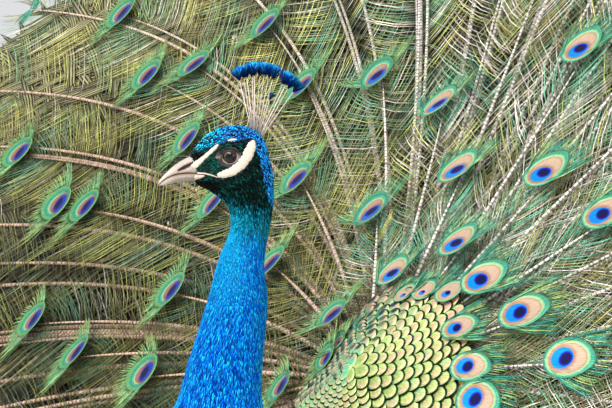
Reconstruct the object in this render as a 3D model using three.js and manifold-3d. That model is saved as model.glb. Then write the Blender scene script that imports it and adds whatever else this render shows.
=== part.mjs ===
// A displaying peacock (Indian peafowl, Pavo cristatus), life size, as a still museum model.
//
// Millimetres, +Z up.  The bird faces -Y and its left side is +X.  The body is built round a
// working origin on the floor under the shoulders; the last step moves everything so that the
// floor centre of the whole bird is the origin.

import * as THREE from 'three';
import { mergeVertices } from 'three/addons/utils/BufferGeometryUtils.js';
import Module from 'manifold-3d';

const manifold = await Module();
manifold.setup();

const DEG = Math.PI / 180;

// ---------------------------------------------------------------- driving dimensions

const gap = 0.3;                          // clear space between neighbouring parts

const headCentre = [-11, -63, 723];       // middle of the skull, between the eyes
const headTurn = 38 * DEG;                // head turned to the bird's right
const eyeRadius = 7.6;
const eyePlace = { forward: 1.5, side: 13.4, up: 4.4 };
const billTip = { forward: 67.5, up: -22 };

const crestShafts = 10;
const crestFront = -20 * DEG;             // first shaft leans forward of upright
const crestBack = 49 * DEG;               // last shaft leans back of upright
const crestLength = 60;

const fanRoot = [0, 110, 490];            // where the train feathers spring from the back
const fanLean = 36 * DEG;                 // fan tilted back from upright
const fanSweep = 8 * DEG;                 // feathers sweep back from the fan plane
const fanBow = 51;                        // forward bow of a feather at 1 m, mm
const fanCurl = 258;                      // more forward bow of a sideways feather at 1 m, mm
const fanDroop = 430;                     // sag of a sideways feather at 1 m, mm
const fanHalfAngle = 105 * DEG;           // spread to each side of upright
const trainLength = 1400;                 // longest feather
const sideShortening = 0.36;              // outermost feathers are shorter by this share
const trainStack = 45;                    // short feathers lie this far in front at the root
const trainSkin = 1.0;                    // thickness of the outer train
const trainRootThick = 27;                // extra thickness of the bundled quills
const trainStart = 62;                    // distance from the fan root to the sector's inner end
const trainSectors = 10;
const featherTipDepth = 0.035;            // notch between feather tips, as a share of length

const shieldRadius = 126;                 // scaly back shield in front of the train's root
const shieldSideRadius = 100;             // its reach to each side
const shieldDome = 14;

const tailLength = 430;                   // brown tail feathers behind the train
const tailHalfAngle = 78 * DEG;
const tailThick = 2.4;

const bodyLift = -10;                      // raises the whole trunk
const footSpread = 56;                    // foot to mid line
const footY = 74;                         // tarsus foot, along the body
const ankleHeight = 152;
const ankleY = 102;
const footHeight = 13;                    // middle of the foot joint above the floor
const middleToe = 80;
const toeSink = 1.4;                      // depth of the flat worn under each toe

const wingThick = 15;
const primaryLength = 252;
const primaryCount = 10;

// ---------------------------------------------------------------- small maths

const vec = (x, y, z) => new THREE.Vector3(x, y, z);
const mix = (a, b, t) => a + (b - a) * t;
const steps = (count) => Array.from({ length: count + 1 }, (_, i) => i / count);

// Row of a table of stations at t in 0..1, with a smooth curve through every column.
function station(table, t) {
  const last = table.length - 1;
  const place = Math.min(Math.max(t, 0), 1) * last;
  const i = Math.min(Math.floor(place), last - 1);
  const f = place - i;
  const row = (k) => table[Math.min(Math.max(k, 0), last)];
  return table[0].map((_, c) => {
    const [a, b, d, e] = [row(i - 1)[c], row(i)[c], row(i + 1)[c], row(i + 2)[c]];
    const slopeIn = (d - a) / 2;
    const slopeOut = (e - b) / 2;
    const f2 = f * f;
    const f3 = f2 * f;
    return b * (2 * f3 - 3 * f2 + 1) + slopeIn * (f3 - 2 * f2 + f)
      + d * (3 * f2 - 2 * f3) + slopeOut * (f3 - f2);
  });
}

// Ring of points about a centre: halfway sizes to the side, upward and downward.
function ring(centre, side, up, halfSide, halfUp, halfDown, count) {
  return steps(count).slice(0, count).map((s) => {
    const angle = s * 2 * Math.PI;
    const rise = Math.sin(angle);
    return centre.clone()
      .addScaledVector(side, halfSide * Math.cos(angle))
      .addScaledVector(up, (rise > 0 ? halfUp : halfDown) * rise);
  });
}

// ---------------------------------------------------------------- closed solids

// Indexed geometry with its faces turned outward.
function solid(points, faces) {
  const volume = faces.reduce((sum, [a, b, c]) => (
    sum + points[a].dot(points[b].clone().cross(points[c]))
  ), 0);
  const index = faces.flatMap(([a, b, c]) => (volume < 0 ? [a, c, b] : [a, b, c]));
  const geometry = new THREE.BufferGeometry();
  geometry.setAttribute('position', new THREE.Float32BufferAttribute(
    points.flatMap((p) => [p.x, p.y, p.z]), 3));
  geometry.setIndex(index);
  return geometry;
}

// Skin over rings of points, closed by one point at each end.
function loft(start, rings, end) {
  const count = rings[0].length;
  const points = [start, ...rings.flat(), end];
  const endIndex = points.length - 1;
  const at = (r, i) => 1 + r * count + (i % count);
  const faces = [];
  for (let i = 0; i < count; i += 1) {
    faces.push([0, at(0, i + 1), at(0, i)]);
    faces.push([endIndex, at(rings.length - 1, i), at(rings.length - 1, i + 1)]);
    for (let r = 0; r + 1 < rings.length; r += 1) {
      faces.push([at(r, i), at(r, i + 1), at(r + 1, i + 1)]);
      faces.push([at(r, i), at(r + 1, i + 1), at(r + 1, i)]);
    }
  }
  return solid(points, faces);
}

// Plate between a front and a back surface, both given as point(u, v) with u and v in 0..1.
function plate(front, back, columns, rows) {
  const grid = (surface) => steps(rows).flatMap((v) => steps(columns).map((u) => surface(u, v)));
  const points = [...grid(front), ...grid(back)];
  const wide = columns + 1;
  const backAt = wide * (rows + 1);
  const faces = [];
  for (let r = 0; r < rows; r += 1) {
    for (let c = 0; c < columns; c += 1) {
      const i = r * wide + c;
      faces.push([i, i + 1, i + wide + 1], [i, i + wide + 1, i + wide]);
      faces.push([backAt + i, backAt + i + wide + 1, backAt + i + 1]);
      faces.push([backAt + i, backAt + i + wide, backAt + i + wide + 1]);
    }
  }
  const rim = [];
  for (let c = 0; c < columns; c += 1) rim.push(c);
  for (let r = 0; r < rows; r += 1) rim.push(r * wide + columns);
  for (let c = columns; c > 0; c -= 1) rim.push(rows * wide + c);
  for (let r = rows; r > 0; r -= 1) rim.push(r * wide);
  rim.forEach((i, k) => {
    const j = rim[(k + 1) % rim.length];
    faces.push([j, i, backAt + i], [j, backAt + i, backAt + j]);
  });
  return solid(points, faces);
}

// Limb along a path of stations [x, y, z, half width, half height], ended by points.
function limb(path, count, upward = vec(0, 0, 1), sections = path.length - 1, blunt = 0.5) {
  const rows = steps(sections).map((t) => station(path, t));
  const centres = rows.map(([x, y, z]) => vec(x, y, z));
  const tangents = centres.map((_, i) => (
    centres[Math.min(i + 1, sections)].clone().sub(centres[Math.max(i - 1, 0)]).normalize()
  ));
  const rings = rows.map((row, i) => {
    const side = tangents[i].clone().cross(upward).normalize();
    const up = side.clone().cross(tangents[i]);
    return ring(centres[i], side, up, row[3], row[4], row[4], count);
  });
  const start = centres[0].clone().addScaledVector(tangents[0], -rows[0][3] * blunt);
  const end = centres[sections].clone().addScaledVector(tangents[sections], rows[sections][3] * blunt);
  return loft(start, rings, end);
}

function toManifold(geometry) {
  const bare = geometry.clone();
  bare.deleteAttribute('normal');
  bare.deleteAttribute('uv');
  const merged = mergeVertices(bare, 1e-4);
  return new manifold.Manifold(new manifold.Mesh({
    numProp: 3,
    vertProperties: new Float32Array(merged.attributes.position.array),
    triVerts: new Uint32Array(merged.index.array),
  }));
}

function fromManifold(shape) {
  const mesh = shape.getMesh();
  const geometry = new THREE.BufferGeometry();
  geometry.setAttribute('position', new THREE.BufferAttribute(mesh.vertProperties, 3));
  geometry.setIndex(new THREE.BufferAttribute(mesh.triVerts, 1));
  return geometry;
}

// First geometry with the others cut away; only its largest piece is kept.
function carve(geometry, ...cutters) {
  const cut = cutters.reduce((body, cutter) => body.subtract(toManifold(cutter)),
    toManifold(geometry));
  const pieces = cut.decompose();
  pieces.sort((a, b) => b.volume() - a.volume());
  return fromManifold(pieces[0]);
}

function join(...geometries) {
  return fromManifold(geometries.map(toManifold).reduce((body, next) => body.add(next)));
}

// Mirror across the mid line, for the other side of the bird.
function mirrored(geometry) {
  const other = geometry.clone();
  other.scale(-1, 1, 1);
  const index = other.index.array;
  for (let i = 0; i < index.length; i += 3) {
    [index[i + 1], index[i + 2]] = [index[i + 2], index[i + 1]];
  }
  return other;
}

// ---------------------------------------------------------------- trunk and neck

// Stations of the trunk from breast to vent: y, middle height, half height, half width.
const trunkStations = [
  [-174, 404, 34, 30],
  [-158, 404, 62, 55],
  [-126, 402, 87, 77],
  [-80, 401, 100, 87],
  [-28, 402, 103, 91],
  [26, 405, 101, 90],
  [76, 411, 91, 83],
  [122, 419, 73, 69],
  [160, 425, 52, 51],
  [186, 429, 32, 32],
];
const trunkStart = -183;
const trunkEnd = 199;

function trunkPoint(t, angle, out) {
  const [y, middle, tall, wide] = station(trunkStations, t);
  const round = Math.hypot(Math.cos(angle) * (tall + out), Math.sin(angle) * (wide + out));
  const reach = (tall + out) * (wide + out) / round;
  return vec(reach * Math.cos(angle), y, bodyLift + middle + reach * Math.sin(angle));
}

function trunkSolid(out = 0, around = 18, along = 10) {
  const rings = steps(along).map((t) => (
    steps(around).slice(0, around).map((s) => trunkPoint(t, s * 2 * Math.PI, out))
  ));
  const tip = (y, row) => vec(0, y, bodyLift + row[1]);
  return loft(tip(trunkStart - out, trunkStations[0]), rings,
    tip(trunkEnd + out, trunkStations.at(-1)));
}

// Stations of the neck from inside the head down into the breast:
// forward of the head's middle (negative), below it, half width, half depth.
const neckStations = [
  [16, -24, 15, 15],
  [14, -41, 18.5, 18.5],
  [8, -73, 21.5, 22],
  [0, -95, 24, 25],
  [-4, -127, 28.5, 30],
  [-12, -164, 32, 34],
  [-19, -200, 36, 38],
  [-24, -228, 41, 42],
  [-24, -252, 52, 56],
  [-20, -280, 62, 68],
];

function neckSolid(out = 0, around = 16) {
  const path = neckStations.map(([back, drop, wide, deep], i) => {
    const lean = Math.max(0, 1 - i / 3);
    return [headCentre[0] * lean, headCentre[1] + back, headCentre[2] + drop,
      wide + out, deep + out];
  });
  return limb(path, around, vec(0, -1, 0), 9, 0.3);
}

// ---------------------------------------------------------------- head, bill, eyes, crest

const headForward = vec(-Math.sin(headTurn), -Math.cos(headTurn), 0);
const headLeft = vec(Math.cos(headTurn), -Math.sin(headTurn), 0);
const upright = vec(0, 0, 1);

function headPoint(forward, side, up) {
  return vec(...headCentre)
    .addScaledVector(headForward, forward)
    .addScaledVector(headLeft, side)
    .addScaledVector(upright, up);
}

// Stations of the head from bill base to nape: forward, top, bottom, half width.
const headStations = [
  [33.5, 2, -19, 7.6],
  [27, 10.5, -24, 11],
  [17, 19.5, -29, 15],
  [6, 27.5, -34, 18],
  [-6, 32, -38, 19.6],
  [-17, 31, -40, 19.6],
  [-27, 24.5, -36, 17],
  [-34, 14, -26, 12],
];

function headSolid(out = 0, around = 16, along = 9) {
  const rings = steps(along).map((t) => {
    const [forward, top, bottom, wide] = station(headStations, t);
    const middle = (top + bottom) / 2;
    const tall = (top - bottom) / 2 + out;
    return ring(headPoint(forward, 0, middle), headLeft, upright, wide + out, tall, tall, around);
  });
  return loft(headPoint(36 + out, 0, -9), rings, headPoint(-38.5 - out, 0, -5));
}

// Stations of the closed bill: forward, top, gape line, bottom, half width.
const billStations = [
  [27, 7, -10, -23, 9],
  [36, 4, -12, -23.6, 8.2],
  [45, 0, -13.6, -23.4, 6.8],
  [53, -5.5, -15.2, -22.8, 5.2],
  [59.5, -11, -17.2, -22, 3.6],
  [64, -16, -19.6, -21.4, 2],
];

function billSolid(upper) {
  const path = upper ? billStations : billStations.slice(0, -1);
  const rings = path.map(([forward, top, gape, bottom, wide]) => {
    const high = upper ? top : gape - gap / 2;
    const low = upper ? gape + gap / 2 : bottom;
    const count = 8;
    return steps(count).slice(0, count).map((s) => {
      const angle = s * 2 * Math.PI;
      const flat = upper ? Math.sin(angle) < 0 : Math.sin(angle) > 0;
      const rise = flat ? 0 : Math.abs(Math.sin(angle));
      const seat = upper ? low : high;
      const reach = upper ? high - low : low - high;
      return headPoint(forward, wide * Math.cos(angle), seat + reach * rise);
    });
  });
  const [first, last] = [path[0], path.at(-1)];
  const middle = (row) => (upper ? (row[1] + row[2]) / 2 : (row[2] + row[3]) / 2);
  const tip = upper ? headPoint(billTip.forward, 0, billTip.up)
    : headPoint(last[0] + 3, 0, last[2] - 1.6);
  return loft(headPoint(first[0] - 2, 0, middle(first)), rings, tip);
}

function eyeSolid(side, out = 0) {
  const ball = new THREE.SphereGeometry(eyeRadius + out, 12, 7);
  const centre = headPoint(eyePlace.forward, eyePlace.side * side, eyePlace.up);
  return mergeVertices(ball.deleteAttribute('normal').deleteAttribute('uv')
    .translate(centre.x, centre.y, centre.z), 1e-4);
}

function crestSolid() {
  const shafts = steps(crestShafts - 1).map((s) => {
    const lean = mix(crestFront, crestBack, s);
    const length = crestLength * (0.95 + 0.12 * Math.sin(Math.PI * s));
    const spread = 5 * Math.sin(s * 9);
    const base = [mix(-15, -27, s), mix(27, 20, s)];
    const place = (reach) => {
      const p = headPoint(base[0] - reach * Math.sin(lean), spread * reach / length,
        base[1] + reach * Math.cos(lean));
      return [p.x, p.y, p.z];
    };
    const blade = 4.6;
    return limb([
      [...place(0), 0.9, 0.9],
      [...place(length * 0.72), 0.6, 0.7],
      [...place(length * 0.9), 0.8, blade],
      [...place(length), 0.6, 2.2],
    ], 4, headForward, 3, 0.6);
  });
  const tuft = limb([
    [...headPoint(-13, 0, 30).toArray(), 5, 3],
    [...headPoint(-28, 0, 22).toArray(), 5, 3],
  ], 8, upright, 1, 0.5);
  return join(tuft, ...shafts);
}

// ---------------------------------------------------------------- train, shield and tail

const fanUp = vec(0, Math.sin(fanLean), Math.cos(fanLean));
const fanFront = vec(0, -Math.cos(fanLean), Math.sin(fanLean));

// Point on the fan: angle from its upper middle, distance from the root, lift to the front.
function fanPoint(angle, distance, lift) {
  const metres = distance / 1000;
  const sideways = Math.sin(angle);
  const sag = Math.hypot(sideways, 0.15) - 0.15;
  return vec(...fanRoot)
    .addScaledVector(fanUp, Math.cos(fanSweep) * distance * Math.cos(angle))
    .addScaledVector(vec(1, 0, 0), Math.cos(fanSweep) * distance * sideways)
    .addScaledVector(fanFront, -Math.sin(fanSweep) * distance + lift
      + (fanBow + fanCurl * sideways ** 2) * metres ** 2)
    .addScaledVector(upright, -fanDroop * metres ** 2 * sag);
}

const stackLift = (distance) => trainStack * Math.max(0, 1 - distance / 1100) ** 1.5;
const featherLength = (angle) => (
  trainLength * (1 - sideShortening * (Math.abs(angle) / fanHalfAngle) ** 4)
);

function trainSector(index) {
  const columns = 10;
  const rows = 5;
  const first = mix(-fanHalfAngle, fanHalfAngle, index / trainSectors);
  const last = mix(-fanHalfAngle, fanHalfAngle, (index + 1) / trainSectors);
  const place = (u, v) => {
    const column = Math.round(u * columns);
    const notch = column % 2 === 0 ? featherTipDepth : 0;
    const flat = mix(first, last, u);
    const distance = mix(trainStart, featherLength(flat) * (1 - notch), v ** 1.25);
    const inset = (gap / 2 + 0.05) / distance;
    return [Math.min(Math.max(flat, first + inset), last - inset), distance];
  };
  const front = (u, v) => {
    const [angle, distance] = place(u, v);
    return fanPoint(angle, distance, stackLift(distance));
  };
  const back = (u, v) => {
    const [angle, distance] = place(u, v);
    const thick = trainSkin + trainRootThick * Math.exp(-((distance / 230) ** 2));
    return fanPoint(angle, distance, stackLift(distance) - thick);
  };
  return plate(front, back, columns, rows);
}

function shieldSolid() {
  const around = 20;
  const turn = (s) => s * 2 * Math.PI;
  const stem = trainStart - 5;
  const circle = (distance, lift) => steps(around).slice(0, around).map((s) => (
    fanPoint(turn(s), distance, lift)
  ));
  const soft = (x) => THREE.MathUtils.smoothstep(x, 0, 1);
  const edge = (angle) => {
    const degrees = Math.abs(angle) / DEG;
    const side = mix(shieldRadius, shieldSideRadius, soft(degrees / 85));
    return mix(side, stem + 4, soft((degrees - 85) / 60));
  };
  const rim = (share, lift) => steps(around).slice(0, around).map((s) => {
    const angle = turn(s) > Math.PI ? turn(s) - 2 * Math.PI : turn(s);
    const distance = mix(stem + 1, edge(angle), share);
    return fanPoint(angle, distance, stackLift(distance) + lift);
  });
  const dome = (share) => rim(share, 2.2 + shieldDome * (1 - share * share));
  const rings = [
    circle(stem * 0.6, -60),
    circle(stem, -20),
    circle(stem, stackLift(stem) + 1),
    rim(0.5, 1),
    rim(1, 1),
    dome(0.98),
    dome(0.8),
    dome(0.5),
    dome(0.15),
  ];
  const middle = (lift) => vec(...fanRoot).addScaledVector(fanFront, lift);
  return loft(middle(-70), rings, middle(trainStack + 2.2 + shieldDome));
}

function tailSolid() {
  const columns = 18;
  const place = (u, v) => {
    const angle = mix(-tailHalfAngle, tailHalfAngle, u);
    const notch = Math.round(u * columns) % 2 === 0 ? 0.05 : 0;
    return [angle, mix(66, tailLength * (1 - notch), v)];
  };
  const front = (u, v) => fanPoint(...place(u, v), 2);
  const back = (u, v) => fanPoint(...place(u, v), 2 - tailThick);
  return plate(front, back, columns, 3);
}

// ---------------------------------------------------------------- wings

// Folded wing pad on the bird's left, from shoulder to the lower back.
function wingSolid(out = 0) {
  const outline = (u) => Math.sqrt(Math.max(0, 1 - (2 * u - 1) ** 4));
  const place = (u, v) => {
    const open = 0.12 + 0.88 * outline(u);
    const along = mix(0.19, 0.72, u);
    const centre = mix(6, 8, u);
    const half = 34 * open + out * 0.6;
    return [along, (centre + mix(-half, half, v)) * DEG, open];
  };
  const outer = (u, v) => {
    const [along, angle, open] = place(u, v);
    const bulge = Math.sqrt(Math.max(0, 1 - (2 * v - 1) ** 2));
    return trunkPoint(along, angle, 2.2 + out + wingThick * bulge * open);
  };
  const inner = (u, v) => {
    const [along, angle] = place(u, v);
    return trunkPoint(along, angle, 0.8 - out);
  };
  return plate(outer, inner, 9, 6);
}

// Lowered flight feathers on the bird's left, hanging under the wing pad.
function primariesSolid() {
  const pivot = vec(97, 8, 392);
  const columns = primaryCount * 2;
  const place = (u, v, out) => {
    const swing = mix(-4, 62, u) * DEG;
    const notch = Math.round(u * columns) % 2 === 0 ? 0.07 : 0;
    const tip = primaryLength * (1 - 0.18 * u * u) * (1 - notch);
    const distance = mix(26, tip, v);
    return pivot.clone().add(vec(0.1 * distance + out, distance * Math.sin(swing),
      -distance * Math.cos(swing)));
  };
  return plate((u, v) => place(u, v, 1.1), (u, v) => place(u, v, -1.1), columns, 2);
}

// ---------------------------------------------------------------- legs and feet

function thighSolid(out = 0) {
  return limb([
    [footSpread - 6, 22, 372, 30 + out, 40 + out],
    [footSpread - 3, 24, 320, 34 + out, 46 + out],
    [footSpread, 44, 268, 29 + out, 38 + out],
    [footSpread, 68, 222, 20 + out, 26 + out],
    [footSpread, 88, 186, 13 + out, 16 + out],
    [footSpread, ankleY - 3, ankleHeight + 6, 9 + out, 10.5 + out],
  ], 12, vec(0, -1, 0), 7, 0.3);
}

function tarsusSolid(out = 0) {
  return limb([
    [footSpread, ankleY, ankleHeight, 8 + out, 9 + out],
    [footSpread, mix(ankleY, footY, 0.2), mix(ankleHeight, footHeight, 0.2), 5.6 + out, 6.8 + out],
    [footSpread, mix(ankleY, footY, 0.6), mix(ankleHeight, footHeight, 0.6), 5.2 + out, 6.2 + out],
    [footSpread, mix(ankleY, footY, 0.86), mix(ankleHeight, footHeight, 0.86), 6 + out, 7 + out],
  ], 8, vec(0, -1, 0), 4, 0.3);
}

// Toes: turn from straight ahead (outward positive), length, half width.
const toes = [
  { turn: 4, length: middleToe, thick: 6 },
  { turn: -30, length: middleToe * 0.74, thick: 5.4 },
  { turn: 36, length: middleToe * 0.78, thick: 5.4 },
  { turn: 196, length: middleToe * 0.42, thick: 4.6 },
];

function toePoint(toe, reach, height) {
  const angle = toe.turn * DEG;
  return [footSpread + reach * Math.sin(angle), footY - reach * Math.cos(angle), height];
}

function footSolid() {
  const knob = limb([
    [footSpread, footY + 4.5, footHeight + 16, 6.6, 7.2],
    [footSpread, footY, footHeight, 8.6, 9.4],
    [footSpread, footY - 2, 7, 8, 8],
  ], 10, vec(0, -1, 0), 2, 0.4);
  const digits = toes.map(({ turn, length, thick }) => {
    const toe = { turn };
    const rest = thick - toeSink;
    return limb([
      [...toePoint(toe, 0, rest + 4), thick, thick],
      [...toePoint(toe, length * 0.3, rest + 0.6), thick * 0.95, thick],
      [...toePoint(toe, length * 0.65, rest * 0.92), thick * 0.88, thick * 0.92],
      [...toePoint(toe, length * 0.93, rest * 0.8), thick * 0.72, thick * 0.8],
    ], 6, upright, 3, 0.5);
  });
  const floor = new THREE.BoxGeometry(400, 400, 40).translate(footSpread, footY, -20);
  return carve(join(knob, ...digits), mergeVertices(floor, 1e-4), tarsusSolid(gap));
}

function clawSolid({ turn, length, thick }) {
  const toe = { turn };
  const long = thick * 2.3;
  return limb([
    [...toePoint(toe, length * 0.93, thick * 0.62), thick * 0.5, thick * 0.55],
    [...toePoint(toe, length + long * 0.35, thick * 0.7), thick * 0.4, thick * 0.46],
    [...toePoint(toe, length + long, thick * 0.22), 0.4, 0.4],
  ], 5, upright, 2, 0.6);
}

function spurSolid() {
  const along = 0.46;
  const [y, z] = [mix(ankleY, footY, along), mix(ankleHeight, footHeight, along)];
  return limb([
    [footSpread - 2, y + 2, z, 3.6, 3.6],
    [footSpread - 7, y + 9, z + 1, 2.8, 2.8],
    [footSpread - 11, y + 17, z + 5, 0.6, 0.6],
  ], 5, upright, 2, 0.4);
}

// ---------------------------------------------------------------- the bird

const finishes = {
  blue: { color: 0x0b6fd0, roughness: 0.45, metalness: 0.3 },
  face: { color: 0x0c5a52, roughness: 0.55, metalness: 0.2 },
  bill: { color: 0xcfc4b8, roughness: 0.45, metalness: 0 },
  eye: { color: 0x2a140d, roughness: 0.1, metalness: 0 },
  train: { color: 0x6f7f3c, roughness: 0.55, metalness: 0.2 },
  shield: { color: 0xb9c96a, roughness: 0.45, metalness: 0.35 },
  tail: { color: 0x6b5540, roughness: 0.7, metalness: 0 },
  wing: { color: 0xb9ab92, roughness: 0.7, metalness: 0 },
  flight: { color: 0x9a5a2c, roughness: 0.65, metalness: 0 },
  thigh: { color: 0xb8a27e, roughness: 0.8, metalness: 0 },
  leg: { color: 0x9b9185, roughness: 0.6, metalness: 0 },
  claw: { color: 0x4a4038, roughness: 0.45, metalness: 0 },
};

const peacock = new THREE.Group();
peacock.name = 'peacock';

function add(name, finish, geometry) {
  const bare = geometry.index ? geometry.toNonIndexed() : geometry;
  bare.computeVertexNormals();
  const mesh = new THREE.Mesh(bare, new THREE.MeshStandardMaterial(finishes[finish]));
  mesh.name = name;
  peacock.add(mesh);
}

function addPair(name, finish, geometry) {
  add(`${name}_l`, finish, geometry);
  add(`${name}_r`, finish, mirrored(geometry));
}

const trunkCut = trunkSolid(gap);
const headCut = headSolid(gap);
const thighCut = thighSolid(gap);

add('trunk', 'blue', carve(trunkSolid(), thighCut, mirrored(thighCut)));
add('neck', 'blue', carve(neckSolid(), trunkCut, headCut));
add('head', 'face', carve(headSolid(), eyeSolid(1, gap), eyeSolid(-1, gap)));
add('bill_upper', 'bill', carve(billSolid(true), headCut));
add('bill_lower', 'bill', carve(billSolid(false), headCut));
add('eye_l', 'eye', eyeSolid(1));
add('eye_r', 'eye', eyeSolid(-1));
add('crest', 'blue', carve(crestSolid(), headCut));

add('back_scales', 'shield', carve(shieldSolid(), trunkCut));
for (let i = 0; i < trainSectors; i += 1) {
  add(`train_${String(i + 1).padStart(2, '0')}`, 'train', carve(trainSector(i), trunkCut));
}
add('tail', 'tail', carve(tailSolid(), trunkCut));

const wing = carve(wingSolid(), trunkCut);
addPair('wing', 'wing', wing);
addPair('primaries', 'flight', carve(primariesSolid(), wingSolid(gap), trunkCut));
addPair('thigh', 'thigh', thighSolid());
addPair('tarsus', 'leg', carve(tarsusSolid(), thighCut));
addPair('spur', 'claw', carve(spurSolid(), tarsusSolid(gap)));
const foot = footSolid();
addPair('foot', 'leg', foot);
const toeNames = ['middle', 'inner', 'outer', 'hind'];
toes.forEach((toe, i) => {
  addPair(`claw_${toeNames[i]}`, 'claw', carve(clawSolid(toe), grownToe(toe)));
});

// Toe with the clearance round it, which a claw is cut back to.
function grownToe({ turn, length, thick }) {
  const toe = { turn };
  const rest = thick - toeSink;
  return limb([
    [...toePoint(toe, length * 0.3, rest + 0.6), thick * 0.95 + gap, thick + gap],
    [...toePoint(toe, length * 0.65, rest * 0.92), thick * 0.88 + gap, thick * 0.92 + gap],
    [...toePoint(toe, length * 0.93, rest * 0.8), thick * 0.72 + gap, thick * 0.8 + gap],
  ], 8, upright, 3, 0.6);
}

// Floor centre of the whole bird to the origin.
const box = new THREE.Box3().setFromObject(peacock);
const middle = box.getCenter(vec(0, 0, 0));
peacock.children.forEach((mesh) => mesh.geometry.translate(-middle.x, -middle.y, -box.min.z));

export default peacock;
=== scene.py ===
"""Looks of a displaying peacock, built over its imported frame.

Shapes are worked out in millimetres in the bird's own frame: the bird faces -Y, its left side
is +X, the floor is z = 0.  to_frame() turns them into the frame's metres.
"""

import math

import bpy
import numpy as np
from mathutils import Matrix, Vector


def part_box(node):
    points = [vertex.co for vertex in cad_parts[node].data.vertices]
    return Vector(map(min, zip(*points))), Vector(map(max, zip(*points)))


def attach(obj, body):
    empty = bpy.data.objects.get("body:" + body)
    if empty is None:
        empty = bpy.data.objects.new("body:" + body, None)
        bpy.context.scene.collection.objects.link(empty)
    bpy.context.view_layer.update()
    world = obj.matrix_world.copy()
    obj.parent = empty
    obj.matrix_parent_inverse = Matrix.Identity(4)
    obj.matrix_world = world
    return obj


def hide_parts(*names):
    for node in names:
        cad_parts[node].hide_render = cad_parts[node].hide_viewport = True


bl_info = {
    "name": "Displaying Peacock",
    "version": (1, 0, 0),
    "blender": (4, 5, 0),
    "location": "View3D > Sidebar > Peacock",
    "description": "Builds the plumage, skin, eyes, bill and feet of a displaying peacock",
    "category": "Object",
}

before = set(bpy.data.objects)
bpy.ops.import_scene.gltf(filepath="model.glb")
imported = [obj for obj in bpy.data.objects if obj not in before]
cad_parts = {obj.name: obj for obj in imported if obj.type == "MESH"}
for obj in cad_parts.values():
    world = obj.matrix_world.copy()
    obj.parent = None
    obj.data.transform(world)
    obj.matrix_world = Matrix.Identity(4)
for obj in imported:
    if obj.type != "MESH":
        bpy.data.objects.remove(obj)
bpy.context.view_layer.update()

IMAGE_WIDTH = 612
IMAGE_HEIGHT = 408
TRAIN_NODES = [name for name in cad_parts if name.startswith("train_")]


# ------------------------------------------------------------------ colours and numbers

def linear(code):
    """An sRGB hex colour such as '0b6fd0' as linear red, green and blue."""
    channels = np.array([int(code[i:i + 2], 16) for i in (0, 2, 4)]) / 255.0
    low = channels / 12.92
    high = ((channels + 0.055) / 1.055) ** 2.4
    return tuple(float(v) for v in np.where(channels <= 0.04045, low, high))


def mix(a, b, t):
    """Goes from a to b as t goes from 0 to 1."""
    return a + (b - a) * t


def ease(x, low, high):
    """Smooth step: 0 below low, 1 above high."""
    t = np.clip((x - low) / (high - low), 0.0, 1.0)
    return t * t * (3.0 - 2.0 * t)


def unit(v):
    """Vectors of length one."""
    return v / np.maximum(np.linalg.norm(v, axis=-1, keepdims=True), 1e-12)


def grid(first, second):
    """Every pair of values from two lists, as two tables."""
    return np.meshgrid(first, second, indexing="ij")


def slope(place, t, step, low=-np.inf, high=np.inf):
    """Direction in which place(t) moves as t grows, with t held between low and high."""
    return unit(place(np.minimum(t + step, high)) - place(np.maximum(t - step, low)))


def along_table(table, t):
    """Rows of a table of stations at t in 0..1: a smooth cubic through every column."""
    table = np.asarray(table, float)
    last = len(table) - 1
    place = np.clip(np.asarray(t, float), 0.0, 1.0) * last
    i = np.minimum(np.floor(place).astype(int), last - 1)
    f = (place - i)[..., None]
    before, here = table[np.maximum(i - 1, 0)], table[i]
    after, beyond = table[i + 1], table[np.minimum(i + 2, last)]
    start, end = (after - before) / 2.0, (beyond - here) / 2.0
    return (here * (2 * f ** 3 - 3 * f ** 2 + 1) + start * (f ** 3 - 2 * f ** 2 + f)
            + after * (3 * f ** 2 - 2 * f ** 3) + end * (f ** 3 - f ** 2))


def mixed(first, second, t):
    """Rows of colour between two colours, t a value for each row."""
    return mix(np.asarray(first, float), np.asarray(second, float), np.asarray(t)[..., None])


# ------------------------------------------------------------------ settings

def length(name, text, metres):
    """A length setting in metres."""
    return bpy.props.FloatProperty(name=name, description=text, default=metres, min=0.0,
                                   unit="LENGTH", subtype="DISTANCE", precision=4)


def angle(name, text, degrees):
    """An angle setting, given in degrees and held in radians."""
    return bpy.props.FloatProperty(name=name, description=text, default=math.radians(degrees),
                                   subtype="ANGLE")


def count(name, text, number):
    """A whole-number setting."""
    return bpy.props.IntProperty(name=name, description=text, default=number, min=0)


def colour(name, text, code):
    """A colour setting, given as an sRGB hex value."""
    return bpy.props.FloatVectorProperty(name=name, description=text, default=linear(code),
                                         subtype="COLOR", size=3, min=0.0, max=1.0)


class PeacockBody(bpy.types.PropertyGroup):
    """Sizes of the body and its short plumage."""

    neck_coat: length("Neck coat", "Depth of the neck's plumage over the skin", 0.0026)
    trunk_coat: length("Trunk coat", "Depth of the trunk's plumage over the skin", 0.006)
    eye_radius: length("Eye radius", "Radius of the eyeball", 0.0076)
    crown_spacing: length("Crown spacing", "Distance between the crown's bead feathers", 0.0018)
    neck_spacing: length("Neck spacing", "Distance between the neck's feathers", 0.0021)
    trunk_spacing: length("Trunk spacing", "Distance between the trunk's feathers", 0.0090)
    crest_shafts: count("Crest shafts", "Feathers in the crest", 14)
    crest_length: length("Crest length", "Length of a crest feather", 0.060)


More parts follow.
